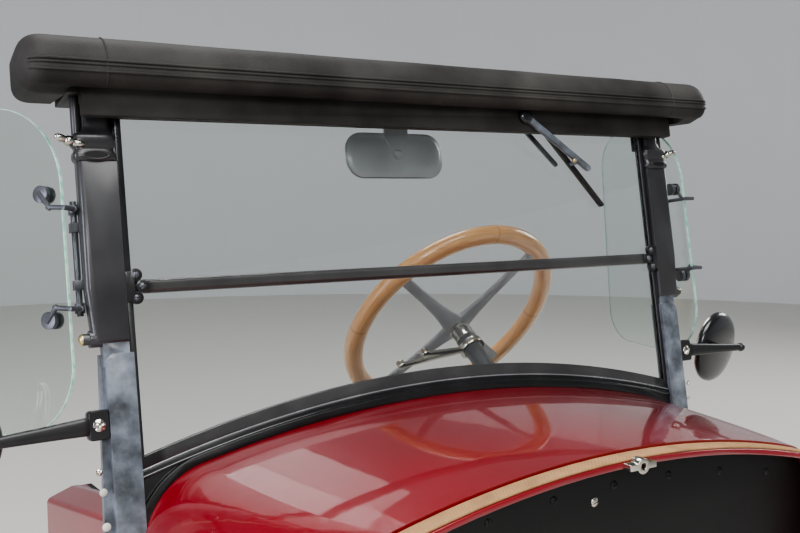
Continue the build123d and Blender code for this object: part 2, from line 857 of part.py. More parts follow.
# Interior mirror on its holder behind the header
mirror_plane = screen.offset(-mirror_back)
with BuildPart() as mirror_bracket:
    with BuildSketch(screen.offset(header_rear - holder_plate)):
        with Locations((mirror_x, (header_bottom + header_top) / 2)):
            RectangleRounded(holder_width, header_top - header_bottom, holder_corner)
    extrude(amount=holder_plate)
    with BuildSketch(mirror_plane.offset(mirror_depth / 2)):
        with BuildLine():
            Polyline(
                (mirror_x - holder_foot_width / 2, holder_foot_h),
                (mirror_x + holder_foot_width / 2, holder_foot_h),
                (mirror_x + holder_top_width / 2, holder_top_h),
                (mirror_x - holder_top_width / 2, holder_top_h),
                close=True,
            )
        make_face()
    extrude(amount=holder_plate)
    with BuildSketch(mirror_plane.offset(mirror_depth / 2)):
        with Locations((mirror_x, holder_top_h - holder_block_height / 2)):
            Rectangle(holder_top_width, holder_block_height)
    extrude(amount=mirror_back + header_rear - mirror_depth / 2)
mirror_bracket.part.label = "mirror_bracket"

with BuildPart() as inner_mirror:
    with BuildSketch(mirror_plane.offset(-mirror_depth / 2)):
        with Locations((mirror_x, mirror_h)):
            RectangleRounded(mirror_width, mirror_height, mirror_corner)
    extrude(amount=mirror_depth)
inner_mirror.part.label = "inner_mirror"

# Exterior mirrors: a block on the stanchion, a tapered arm, and a round head on a stem
mirror_parts = []
clamp_back = flange_depth - stanchion_depth / 2
clamp_outer = stanchion_outer + arm_clamp_width
arm_end_x = post_outer + arm_reach
for side, name in sides:
    facing = Vector(
        -side * sin(radians(head_toe)) * cos(radians(head_tilt)),
        cos(radians(head_toe)) * cos(radians(head_tilt)),
        sin(radians(head_tilt)),
    )
    centre = Vector(side * (arm_end_x + head_out), head_y, head_z)
    with BuildPart() as mirror_head:
        with BuildSketch(Plane(origin=centre, z_dir=facing)):
            Circle(head_diameter / 2)
        extrude(amount=-head_rim)
        with BuildSketch(Plane(origin=centre - facing * head_rim, z_dir=-facing)):
            Circle(head_diameter / 2)
        extrude(amount=head_shell, taper=head_shell_taper)
        with BuildSketch(Plane(origin=centre - facing * (head_rim + head_shell), z_dir=-facing)):
            Circle(head_cap / 2)
        extrude(amount=head_cap_depth, taper=head_shell_taper)
    mirror_head.part.label = "mirror_head_" + name

    with BuildPart() as mirror_arm:
        with BuildSketch(screen.offset(arm_back)):
            with BuildLine():
                Polyline(
                    (side * stanchion_outer, arm_h + arm_root / 2),
                    (side * clamp_outer, arm_h + arm_root / 2),
                    (side * arm_end_x, arm_end_h + arm_tip / 2),
                    (side * arm_end_x, arm_end_h - arm_tip / 2),
                    (side * clamp_outer, arm_h - arm_root / 2),
                    (side * stanchion_outer, arm_h - arm_root / 2),
                    close=True,
                )
            make_face()
        extrude(amount=arm_depth)
        with BuildSketch(screen.offset(clamp_back)):
            with Locations((side * (stanchion_outer + arm_clamp_width / 2), arm_h)):
                RectangleRounded(arm_clamp_width, arm_clamp_height, arm_clamp_corner)
        extrude(amount=arm_back + arm_depth - clamp_back)
        stem_start = on_screen(side * (arm_end_x - arm_stem / 2), arm_end_h, arm_back + arm_depth / 2)
        add(bent_bar((stem_start, centre - facing * (head_rim + head_shell)), arm_stem))
        add(mirror_head.part, mode=Mode.SUBTRACT)
    mirror_arm.part.label = "mirror_arm_" + name
    mirror_parts += [mirror_arm.part, mirror_head.part]

# Side wings of glass, on rods beside the posts
wing_parts = []
wing_high = wing_bottom + wing_height
rod_x = post_outer + wing_rod_clear
rod_n = -post_depth / 2 - wing_collar / 2
for side, name, flare, stand_out, lead in wings:
    rearward = Vector(side * sin(radians(flare)), cos(radians(flare)), 0)
    wing_plane = Plane(
        origin=on_screen(side * (post_outer + stand_out), 0, lead),
        x_dir=rearward,
        z_dir=rearward.cross(up).normalized(),
    )
    lean = rearward.dot(up)
    steep = sqrt(1 - lean**2)
    # columns: height of the corner, distance behind the front edge, radius
    corners = (
        (wing_bottom, 0, wing_foot_radius),
        (wing_high, 0, wing_top_radius),
        (wing_high, wing_length - wing_rear_lean, wing_rear_radius),
        (wing_bottom, wing_length, wing_rear_radius),
    )
    with BuildPart() as wing:
        with BuildSketch(wing_plane) as outline:
            with BuildLine():
                Polyline([(h * lean + back, h * steep) for h, back, radius in corners], close=True)
            make_face()
            for h, back, radius in corners:
                corner = outline.vertices().sort_by_distance((h * lean + back, h * steep))[0]
                fillet(corner, radius)
        extrude(amount=wing_glass / 2, both=True)
        with BuildSketch(wing_plane.offset(-wing_glass)):
            with Locations([(h * lean + clamp_inset, h * steep) for h, arm in clamps]):
                Circle(clamp_pin / 2 + seat_gap)
        extrude(amount=2 * wing_glass, mode=Mode.SUBTRACT)
    wing.part.label = "wing_glass_" + name

    with BuildPart() as rod:
        with BuildSketch(Plane(origin=on_screen(side * rod_x, wing_rod_low, rod_n), z_dir=up)):
            Circle(wing_rod / 2)
        extrude(amount=wing_rod_high - wing_rod_low)
        for h in wing_bracket_heights:
            with BuildSketch(Plane(origin=on_screen(side * rod_x, h, rod_n), x_dir=(1, 0, 0), z_dir=up)):
                with Locations((-side * wing_bracket / 2, 0)):
                    Rectangle(2 * wing_bracket, wing_collar)
            extrude(amount=wing_bracket / 2, both=True)
        for h, arm in clamps:
            with BuildSketch(Plane(origin=on_screen(side * rod_x, arm, rod_n), z_dir=up)):
                Circle(wing_collar / 2)
            extrude(amount=clamp_bar, both=True)
            with BuildSketch(wing_plane.offset(-wing_glass / 2 - clamp_knob_depth)):
                with Locations((h * lean + clamp_inset, h * steep)):
                    Circle(clamp_pin / 2)
            extrude(amount=wing_glass + 2 * clamp_knob_depth)
            for face in (-1, 1):
                with BuildSketch(wing_plane.offset(face * (wing_glass / 2 + seat_gap))):
                    with Locations((h * lean + clamp_inset, h * steep)):
                        Circle(clamp_knob / 2)
                extrude(amount=face * clamp_knob_depth)
            out = side * (wing_glass / 2 + seat_gap + clamp_knob_depth)
            bends = (
                (h * lean + clamp_inset, h * steep, out),
                (arm * lean + clamp_inset / 2, arm * steep, out),
                (arm * lean - clamp_lead, arm * steep, side * clamp_stand_off),
                (arm * lean - clamp_lead, arm * steep, -side * clamp_stand_off),
            )
            path = [wing_plane.from_local_coords(Vector(*bend)) for bend in bends]
            add(bent_bar([*path, on_screen(side * rod_x, arm, rod_n)], clamp_bar))
    rod.part.label = "wing_rod_" + name
    wing_parts += [rod.part, wing.part]

# Steering column, its upper end bored for the pin of the wheel
column_top = -boss_drop - seat_gap
with BuildPart() as steering_column:
    with BuildSketch(wheel_plane.offset(-column_length)):
        Circle(column_outside / 2)
    extrude(amount=column_length + column_top)
    with BuildSketch(wheel_plane.offset(column_top)):
        Circle(column_pin / 2 + running_gap)
    extrude(amount=-column_pin_length - hub_height, mode=Mode.SUBTRACT)
steering_column.part.label = "steering_column"

# Bracket from the instrument board to the column
column_axis = wheel_plane.z_dir
board_reach = (wheel_centre[1] - board_rear_y) / column_axis.Y
column_at_board = wheel_plane.origin - column_axis * board_reach
bracket_s = bracket_stand_off / column_axis.Y - board_reach
with BuildPart() as column_bracket:
    with BuildSketch(wheel_plane.offset(bracket_s - bracket_length / 2)):
        Circle(column_outside / 2 + bracket_wall)
    extrude(amount=bracket_length)
    with BuildSketch(Plane.XZ.offset(-board_rear_y)):
        with Locations((column_at_board.X, column_at_board.Z)):
            Rectangle(bracket_plate_width, bracket_plate_height)
    extrude(amount=-bracket_plate_thickness)
    with BuildSketch(wheel_plane.offset(-column_length)):
        Circle(column_outside / 2)
    extrude(amount=column_length, mode=Mode.SUBTRACT)
    split(bisect_by=Plane.XZ.offset(-board_rear_y), keep=Keep.BOTTOM)
column_bracket.part.label = "column_bracket"

# Steering wheel: oval wooden rim and a four-armed spider
with BuildPart() as wheel_rim:
    with BuildSketch(Plane(origin=wheel_centre, x_dir=wheel_plane.x_dir, z_dir=-wheel_plane.y_dir)):
        with Locations((wheel_rim_radius, 0)):
            SlotOverall(rim_across, rim_thickness)
    revolve(axis=Axis(wheel_plane.origin, wheel_plane.z_dir), revolution_arc=360)
wheel_rim.part.label = "wheel_rim"

with BuildPart() as wheel_spider:
    with BuildSketch(wheel_plane.offset(-hub_drop)):
        Circle(hub_radius)
    extrude(amount=hub_height)
    with BuildSketch(wheel_plane.offset(-boss_drop)):
        Circle(boss_radius)
    extrude(amount=boss_drop - hub_drop)
    with BuildSketch(wheel_plane.offset(-boss_drop)):
        Circle(column_pin / 2)
    extrude(amount=-column_pin_length)
    for angle in spoke_angles:
        heading = radians(angle)
        out = wheel_plane.x_dir * cos(heading) + wheel_plane.y_dir * sin(heading)
        cross = column_axis.cross(out)
        root_centre = wheel_plane.origin + out * spoke_root_radius - column_axis * spoke_root_drop
        tip_centre = wheel_plane.origin + out * spoke_tip_radius - column_axis * spoke_tip_drop
        with BuildSketch(Plane(origin=root_centre, x_dir=cross, z_dir=out)) as root:
            RectangleRounded(*spoke_root, spoke_corner)
        with BuildSketch(Plane(origin=tip_centre, x_dir=cross, z_dir=out)) as tip:
            RectangleRounded(*spoke_tip, spoke_corner)
        loft()
    add(wheel_rim.part, mode=Mode.SUBTRACT)
wheel_spider.part.label = "wheel_spider"

# Hand levers on a collar round the column, below the wheel
with BuildPart() as control_levers:
    with BuildSketch(wheel_plane.offset(-lever_collar_drop)):
        Circle(lever_collar / 2)
    extrude(amount=lever_collar_height)
    with BuildSketch(wheel_plane.offset(-lever_collar_drop)):
        for lever in hand_levers:
            add(flat_bar((0, 0), lever, hand_lever_width))
    extrude(amount=hand_lever_thickness)
    with BuildSketch(wheel_plane.offset(-lever_collar_drop)):
        with Locations(*hand_levers):
            Circle(hand_lever_knob / 2)
    extrude(amount=lever_collar_height)
    with BuildSketch(wheel_plane.offset(-lever_collar_drop)):
        Circle(column_outside / 2)
    extrude(amount=lever_collar_height, mode=Mode.SUBTRACT)
control_levers.part.label = "control_levers"

nodes = [
    scuttle_panel.part, *body_sides, bulkhead.part, toe_board.part, floor_board.part, *bearers,
    bonnet_ledge, bonnet_lacing, hinge_socket.part, instrument_board.part, instruments.part,
    upper_glass, lower_glass, upper_frame.part, lower_frame.part, mid_rail.part, screen_gasket.part,
    *posts, header_bow.part, header_valance.part, header_roll.part,
    wiper_shaft.part, wiper_arm.part, wiper_blade.part, mirror_bracket.part, inner_mirror.part,
    *mirror_parts, *wing_parts,
    steering_column.part, column_bracket.part, wheel_rim.part, wheel_spider.part, control_levers.part,
]
os.makedirs("parts", exist_ok=True)
for node in nodes:
    export_step(node, "parts/" + node.label + ".step")
    print(node.label, len(node.solids()), round(node.volume / 1000, 1))
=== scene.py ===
import json
import math
import bmesh
import bpy
import numpy as np
from mathutils import Euler, Matrix, Vector

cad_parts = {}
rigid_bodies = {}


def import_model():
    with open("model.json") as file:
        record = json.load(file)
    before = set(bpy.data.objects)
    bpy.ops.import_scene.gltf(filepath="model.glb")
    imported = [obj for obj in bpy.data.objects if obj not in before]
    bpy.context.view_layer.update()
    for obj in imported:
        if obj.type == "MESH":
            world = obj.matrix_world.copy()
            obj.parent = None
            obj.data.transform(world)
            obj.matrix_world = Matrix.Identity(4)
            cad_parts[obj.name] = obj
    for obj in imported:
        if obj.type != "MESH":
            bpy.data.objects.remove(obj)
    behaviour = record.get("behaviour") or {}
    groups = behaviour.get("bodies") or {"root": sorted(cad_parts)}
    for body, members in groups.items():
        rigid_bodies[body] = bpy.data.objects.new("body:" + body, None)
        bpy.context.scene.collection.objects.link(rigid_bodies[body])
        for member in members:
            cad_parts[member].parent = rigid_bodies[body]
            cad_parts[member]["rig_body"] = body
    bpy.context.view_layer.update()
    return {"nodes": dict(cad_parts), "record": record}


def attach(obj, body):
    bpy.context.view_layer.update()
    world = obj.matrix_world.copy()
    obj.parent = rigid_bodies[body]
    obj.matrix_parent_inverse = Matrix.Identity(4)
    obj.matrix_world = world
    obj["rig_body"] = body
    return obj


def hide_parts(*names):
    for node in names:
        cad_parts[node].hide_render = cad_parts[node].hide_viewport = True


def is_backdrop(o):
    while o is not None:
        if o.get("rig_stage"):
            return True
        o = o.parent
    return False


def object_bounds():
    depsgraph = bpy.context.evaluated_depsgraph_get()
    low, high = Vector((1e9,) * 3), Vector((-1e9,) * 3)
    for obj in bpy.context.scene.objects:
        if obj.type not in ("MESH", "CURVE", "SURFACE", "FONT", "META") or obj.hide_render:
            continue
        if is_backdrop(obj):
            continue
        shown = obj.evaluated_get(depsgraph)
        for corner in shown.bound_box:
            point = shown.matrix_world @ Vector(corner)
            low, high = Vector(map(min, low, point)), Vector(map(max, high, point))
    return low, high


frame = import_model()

parts = frame["nodes"]
slotOf = {row["node"]: row["material_slot"] for row in frame["record"]["subparts"]}
mm = 0.001
print("frame loaded:", len(parts), "nodes")


def addObject(name, data):
    obj = bpy.data.objects.new(name, data)
    bpy.context.scene.collection.objects.link(obj)
    return obj


def linear(hexColour):
    # each channel c of an sRGB hex is c / 12.92 near black, and elsewhere ((c + 0.055) / 1.055) ^ 2.4
    channels = [int(hexColour[i:i + 2], 16) / 255 for i in (1, 3, 5)]
    return tuple(c / 12.92 if c <= 0.04045 else ((c + 0.055) / 1.055) ** 2.4 for c in channels) + (1.0,)


def plug(source, socket):
    # links a socket to another; a node stands for its first output
    source = source if isinstance(source, bpy.types.NodeSocket) else source.outputs[0]
    socket.id_data.links.new(source, socket)


def addNode(tree, kind, settings=None, feeds=None, **links):
    # settings are a ramp's stops, sockets by name or number, or attributes; feeds and links are other nodes
    node = tree.nodes.new("ShaderNode" + kind)
    for key, value in (settings or {}).items():
        if key == "stops":
            while len(node.color_ramp.elements) < len(value):
                node.color_ramp.elements.new(0.5)
            for element, (stop, colour) in zip(node.color_ramp.elements, value):
                element.position = stop
                element.color = linear(colour)
        elif isinstance(key, int) or key in node.inputs:
            node.inputs[key].default_value = value
        else:
            setattr(node, key, value)
    for key, source in {**(feeds or {}), **links}.items():
        plug(source, node.inputs[key])
    return node


def newMaterial(name):
    material = bpy.data.materials.new(name)
    material.use_nodes = True
    tree = material.node_tree
    tree.nodes.clear()
    shader = tree.nodes.new("ShaderNodeBsdfPrincipled")
    output = tree.nodes.new("ShaderNodeOutputMaterial")
    tree.links.new(shader.outputs["BSDF"], output.inputs["Surface"])
    coordinates = tree.nodes.new("ShaderNodeTexCoord")
    return material, tree, shader, coordinates.outputs["Object"]


def dress(shader, feeds, **constants):
    # feeds drive the shader's sockets, and constants stand on them
    for key, source in feeds.items():
        plug(source, shader.inputs[key])
    for key, value in constants.items():
        shader.inputs[key.replace("_", " ")].default_value = value


# The camera stands where the photographer stood, at the car's right front
camera = {"place": (-0.8384, -1.1233, 0.9616), "yaw": 30.77, "pitch": -4.97, "lens": 41.85, "sensor": 36.0,
          "near": 0.05, "far": 60.0}


def placeCamera():
    data = bpy.data.cameras.new("photoCamera")
    data.lens = camera["lens"]
    data.sensor_width = camera["sensor"]
    data.clip_start = camera["near"]
    data.clip_end = camera["far"]
    eye = addObject("photoCamera", data)
    eye.location = camera["place"]
    eye.rotation_euler = Euler((math.radians(90 + camera["pitch"]), 0, math.radians(-camera["yaw"])))
    bpy.context.scene.camera = eye


placeCamera()
print("camera placed")


# Planes that pieces are drawn on, in millimetres: the raked screen, and the wheel square to its column
planes = {"rake": 10.5, "screen": (0.0, 180.0, 820.0), "turn": 3.7, "slope": 36.0,
          "wheel": (203.0, 426.0, 692.0)}
rake, turned, slope = (math.radians(planes[key]) for key in ("rake", "turn", "slope"))
screenOrigin = np.array(planes["screen"])
across = np.array((1.0, 0.0, 0.0))
up = np.array((0.0, math.sin(rake), math.cos(rake)))
out = np.array((0.0, -math.cos(rake), math.sin(rake)))
wheelOrigin = np.array(planes["wheel"])
wheelX = np.array((math.cos(turned), math.sin(turned), 0.0))
wheelZ = np.array((-math.sin(turned) * math.cos(slope), math.cos(turned) * math.cos(slope), math.sin(slope)))
wheelY = np.cross(wheelZ, wheelX)
bothSides = ((-1, "right"), (1, "left"))


def place(origin, axes, u, v, w):
    # points origin + u a + v b + w c, for arrays u, v, w that fit one shape
    u, v, w = np.broadcast_arrays(np.asarray(u, float), v, w)
    return origin + u[..., None] * axes[0] + v[..., None] * axes[1] + w[..., None] * axes[2]


def onScreen(x, h, n):
    # across the car, up the screen's plane and out from it to the front
    return place(screenOrigin, (across, up, out), x, h, n)


def onWheel(x, y, s):
    return place(wheelOrigin, (wheelX, wheelY, wheelZ), x, y, s)


def unit(v):
    return v / np.linalg.norm(v, axis=-1, keepdims=True)


def fullTurn(steps):
    return np.linspace(0, 2 * np.pi, steps, endpoint=False)


def oval(turn, power):
    # superellipse of unit half axes: |cos|^p and |sin|^p, with the signs of cos and sin
    c, s = np.cos(turn), np.sin(turn)
    return np.sign(c) * np.abs(c) ** power, np.sign(s) * np.abs(s) ** power


def grid(points, closeRows=False):
    # quads over a rows by columns array of points whose rows are rings, with caps on open ends
    rows, cols = points.shape[:2]
    i = np.arange(rows if closeRows else rows - 1)[:, None]
    j = np.arange(cols)[None, :]
    a = i * cols + j
    b = i * cols + (j + 1) % cols
    c = ((i + 1) % rows) * cols + (j + 1) % cols
    d = ((i + 1) % rows) * cols + j
    faces = [tuple(f) for f in np.stack([a, b, c, d], -1).reshape(-1, 4).tolist()]
    if not closeRows:
        faces.append(tuple(range(cols))[::-1])
        faces.append(tuple(range((rows - 1) * cols, rows * cols)))
    return points.reshape(-1, 3), faces


def outward(mesh):
    # faces turn outwards: the volume, a sixth of the sum of a . (b x c) over all triangles, is made positive
    points, faces = mesh
    volume = sum(np.dot(points[f[0]], np.cross(points[f[k]], points[f[k + 1]]))
                 for f in faces for k in range(1, len(f) - 1))
    return (points, [f[::-1] for f in faces]) if volume < 0 else mesh


def merge(*pieces):
    points, faces, base = [], [], 0
    for piecePoints, pieceFaces in map(outward, pieces):
        points.append(piecePoints)
        faces += [tuple(v + base for v in f) for f in pieceFaces]
        base += len(piecePoints)
    return np.concatenate(points), faces


def rod(path, radius, steps=12, closed=False):
    # a circle, r cos t along u and r sin t along v, carried along a path that u and v are square to
    path = np.asarray(path, float)
    if closed:
        run, tangent = path[len(path) // 3] - path[0], unit(np.roll(path, -1, 0) - np.roll(path, 1, 0))
    else:
        run, tangent = path[-1] - path[0], unit(np.gradient(path, axis=0))
    hint = np.cross(run, (0.3, 0.5, 0.81))
    u = unit(hint - (hint * tangent).sum(-1, keepdims=True) * tangent)
    v = np.cross(tangent, u)
    c, s = radius * np.cos(fullTurn(steps)), radius * np.sin(fullTurn(steps))
    return grid(path[:, None] + c[:, None] * u[:, None] + s[:, None] * v[:, None], closeRows=closed)


def squareTo(axis):
    # two unit directions square to an axis and to each other
    side = unit(np.cross(axis, (0.31, 0.52, 0.79)))
    return side, np.cross(axis, side)


def lathe(profile, origin, axis, steps):
    # profile (radius, distance along the axis) turned about the axis, its ends closed by flat caps
    axis = unit(axis)
    side, other = squareTo(axis)
    turn = fullTurn(steps)
    ring = np.cos(turn)[:, None] * side + np.sin(turn)[:, None] * other
    profile = np.asarray(profile, float)
    return grid(origin + profile[:, 1, None, None] * axis + profile[:, 0, None, None] * ring)


def ellipsoid(centre, axis, longHalf, radius, steps=20):
    # radius r sin t at distance -l cos t along the axis, t from 0 to half a turn
    t = np.linspace(0.04, np.pi - 0.04, 12)
    return lathe(np.stack([radius * np.sin(t), -longHalf * np.cos(t)], -1), centre, axis, steps)


def domed(radius, height, origin, axis, base=0.0, steps=20):
    # domed head: a quarter ellipse from the rim to the crown, on a base sunk below it
    t = np.linspace(0, np.pi / 2 * 0.96, 6)
    quarter = np.stack([radius * np.cos(t), height * np.sin(t)], -1)
    return lathe(np.concatenate([[(radius, -base)], quarter]), origin, axis, steps)


def screwHead(radius, height, origin, axis, slotTurn):
    # height h (1 - 0.75 q^2) at share q of the radius, less 0.55 h within the width of the driver's slot
    axis = unit(axis)
    turn = fullTurn(48)
    shares = np.array((1.0, 1.0, 0.97, 0.85, 0.7, 0.5, 0.3, 0.12))
    u = shares[:, None] * radius * np.cos(turn)
    v = shares[:, None] * radius * np.sin(turn)
    rise = height * (1 - 0.75 * shares[:, None] ** 2) * np.ones_like(u)
    reach = np.abs(u * math.sin(slotTurn) - v * math.cos(slotTurn)) / radius
    rise -= 0.55 * height * np.clip((0.2 - reach) / 0.06, 0, 1)
    rise[0] = -0.2 * height
    return grid(place(origin, (*squareTo(axis), axis), u, v, rise))


def rounded(corners, radii, steps=8):
    # a polygon whose corners are arcs, each about the point that lies its radius from both edges
    corners = np.asarray(corners, float)
    t = np.linspace(0, 1, steps)[:, None]
    arcs = []
    for i, corner in enumerate(corners):
        a = unit(corners[i - 1] - corner)
        b = unit(corners[(i + 1) % len(corners)] - corner)
        half = math.acos(np.clip(a @ b, -1, 1)) / 2
        centre = corner + unit(a + b) * radii[i] / math.sin(half)
        start = corner + a * radii[i] / math.tan(half) - centre
        end = corner + b * radii[i] / math.tan(half) - centre
        arcs.append(centre + unit(start * (1 - t) + end * t) * radii[i])
    return np.concatenate(arcs)


def boxOutline(x, half, low, high):
    # four corners at x - half and x + half, from low to high
    return np.array(((x - half, low), (x + half, low), (x + half, high), (x - half, high)))


def plate(outline, origin, axes, low, high, edge):
    # a flat plate over an outline, its rims chamfered by edge, drawn inwards square to the outline
    ahead = unit(np.roll(outline, -1, 0) - np.roll(outline, 1, 0))
    x, y = outline.T
    area = (x * np.roll(y, -1) - y * np.roll(x, -1)).sum()
    inward = np.stack([-ahead[:, 1], ahead[:, 0]], -1) * np.sign(area)
    rings = ((edge, low), (0, low + edge), (0, high - edge), (edge, high))
    layers = [place(origin, axes, *(outline + inward * draw).T, level) for draw, level in rings]
    return grid(np.stack(layers))


def screenPlate(outline, low, high, edge):
    return plate(outline, onScreen(0.0, 0.0, 0.0), (across, up, out), low, high, edge)


def newPiece(name, mesh, finish, body="body", replaced=None, edgeFinish=None, sharp=38,
             marks=None):
    # one object of points and faces, shaded smooth below the sharp angle; marks are values on its points,
    # and its material is the finish's, with the edge finish, if given, on its four-sided faces
    points, faces = outward(mesh)
    data = bpy.data.meshes.new(name)
    data.from_pydata((points * mm).tolist(), [], faces)
    data.polygons.foreach_set("use_smooth", [True] * len(faces))
    data.set_sharp_from_angle(angle=math.radians(sharp))
    data.materials.append(finishes[finish])
    if edgeFinish:
        data.materials.append(finishes[edgeFinish])
        data.polygons.foreach_set("material_index", [int(len(f) == 4) for f in faces])
    for key, values in (marks or {}).items():
        layer = data.attributes.new(key, "FLOAT", "POINT")
        layer.data.foreach_set("value", np.asarray(values, np.float32).ravel())
    obj = addObject(name, data)
    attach(obj, body)
    if replaced:
        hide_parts(replaced)
    return obj


# Enamel over sheet steel, flatted and polished: deep red under a clear coat, with faint orange peel
enamel = {"body": "#860518", "deep": "#7C0415", "dust": "#8A3A3C", "peel": 0.004, "speck": 0.0009}


def redEnamel():
    material, tree, shader, spot = newMaterial("redCoachEnamel")
    cloud = addNode(tree, "TexNoise", {"Scale": 6.0, "Detail": 2.0}, Vector=spot)
    tint = addNode(tree, "ValToRGB", {"stops": ((0.3, enamel["deep"]), (0.7, enamel["body"]))}, Fac=cloud)
    # settled dust shows as sparse pale specks
    specks = addNode(tree, "TexNoise", {"Scale": 1 / enamel["speck"], "Detail": 1.0}, Vector=spot)
    sparse = addNode(tree, "MapRange", {"From Min": 0.66, "From Max": 0.76, "To Max": 0.35}, Value=specks)
    dusty = addNode(tree, "Mix", {"data_type": "RGBA", 7: linear(enamel["dust"])}, {0: sparse, 6: tint})
    peel = addNode(tree, "TexNoise", {"Scale": 1 / enamel["peel"], "Detail": 1.0}, Vector=spot)
    bump = addNode(tree, "Bump", {"Strength": 0.012, "Distance": 0.001}, Height=peel)
    dress(shader, {"Base Color": dusty.outputs[2], "Normal": bump},
          Roughness=0.3, Coat_Weight=1.0, Coat_Roughness=0.03)
    return material


def plain(name, colour, spread, roughness, metallic=0.0, grain=0.006, depth=0.08, **constants):
    # a finely mottled colour and gloss over a light bump, for castings, boards, bright metal and rubber
    material, tree, shader, spot = newMaterial(name)
    cloud = addNode(tree, "TexNoise", {"Scale": 14.0, "Detail": 6.0}, Vector=spot)
    tint = addNode(tree, "ValToRGB", {"stops": ((0.3, colour), (0.72, spread))}, Fac=cloud)
    fine = addNode(tree, "TexNoise", {"Scale": 1 / grain, "Detail": 3.0}, Vector=spot)
    bump = addNode(tree, "Bump", {"Strength": depth, "Distance": 0.0006}, Height=fine)
    gloss = addNode(tree, "MapRange", {"To Min": roughness * 0.8, "To Max": roughness * 1.25}, Value=cloud)
    dress(shader, {"Base Color": tint, "Normal": bump, "Roughness": gloss}, Metallic=metallic, **constants)
    return material


# Black enamel weathered to a grey-blue bloom, in soft blotches
bloom = {"dark": "#2C2F33", "grey": "#5E646B", "pale": "#8C949D"}


def wornEnamel():
    material, tree, shader, spot = newMaterial("wornBlackEnamel")
    blotch = addNode(tree, "TexNoise", {"Scale": 26.0, "Detail": 5.0, "Roughness": 0.55}, Vector=spot)
    stops = ((0.3, bloom["dark"]), (0.5, bloom["grey"]), (0.78, bloom["pale"]))
    tint = addNode(tree, "ValToRGB", {"stops": stops}, Fac=blotch)
    bump = addNode(tree, "Bump", {"Strength": 0.5, "Distance": 0.0012}, Height=blotch)
    dress(shader, {"Base Color": tint, "Normal": bump}, Roughness=0.34, Coat_Weight=0.5, Coat_Roughness=0.2)
    return material


# Enamel of the middle rail: rubbed dark grey on the bar, and black on the brackets that hold its ends
rail = {"bar": "#303030", "rubbed": "#414140", "bracket": "#1B1B1C", "barEnd": 0.470, "bracketStart": 0.478}


def railEnamel():
    material, tree, shader, spot = newMaterial("railEnamel")
    cloud = addNode(tree, "TexNoise", {"Scale": 14.0, "Detail": 6.0}, Vector=spot)
    tint = addNode(tree, "ValToRGB", {"stops": ((0.3, rail["bar"]), (0.72, rail["rubbed"]))}, Fac=cloud)
    apart = addNode(tree, "SeparateXYZ", None, Vector=spot)
    outwards = addNode(tree, "Math", {"operation": "ABSOLUTE"}, {0: apart.outputs["X"]})
    end = addNode(tree, "MapRange", {"From Min": rail["barEnd"], "From Max": rail["bracketStart"]},
                  Value=outwards)
    shade = addNode(tree, "Mix", {"data_type": "RGBA", 7: linear(rail["bracket"])}, {0: end, 6: tint})
    gloss = addNode(tree, "MapRange", {"To Min": 0.24, "To Max": 0.38}, Value=cloud)
    dress(shader, {"Base Color": shade.outputs[2], "Roughness": gloss}, Coat_Weight=0.5, Coat_Roughness=0.12)
    return material


# Leathercloth: coated cotton pressed with a grain of small cells, drawn 2.4 mm wide so that it shows
hide = {"deep": "#252422", "worn": "#43413E", "cellsPerMetre": 420.0}


def leathercloth():
    material, tree, shader, spot = newMaterial("blackLeathercloth")
    cloud = addNode(tree, "TexNoise", {"Scale": 9.0, "Detail": 5.0}, Vector=spot)
    tint = addNode(tree, "ValToRGB", {"stops": ((0.35, hide["deep"]), (0.75, hide["worn"]))}, Fac=cloud)
    cells = addNode(tree, "TexVoronoi", {"Scale": hide["cellsPerMetre"], "feature": "SMOOTH_F1"},
                    Vector=spot)
    grain = addNode(tree, "Bump", {"Strength": 0.45, "Distance": 0.0007}, Height=cells)
    soft = addNode(tree, "Bump", {"Strength": 0.35, "Distance": 0.004}, Height=cloud, Normal=grain)
    gloss = addNode(tree, "MapRange", {"To Min": 0.46, "To Max": 0.7}, Value=cloud)
    dress(shader, {"Base Color": tint, "Normal": soft, "Roughness": gloss}, Specular_IOR_Level=0.25)
    return material


def turnOf(tree):
    # the turn about a centre, -0.5 to 0.5, from the piece's east and north marks
    east, north = (addNode(tree, "Attribute", {"attribute_name": key}).outputs["Fac"]
                   for key in ("east", "north"))
    bearing = addNode(tree, "Math", {"operation": "ARCTAN2"}, {0: north, 1: east})
    return addNode(tree, "Math", {"operation": "DIVIDE", 1: 2 * math.pi}, {0: bearing})


# Varnished ash bent round the rim: honey grain that runs with the ring, and four scarfed joints
rimWood = {"pale": "#FFD09A", "honey": "#F4B06C", "dark": "#D08843", "joint": "#B8763F", "joints": 4.0}


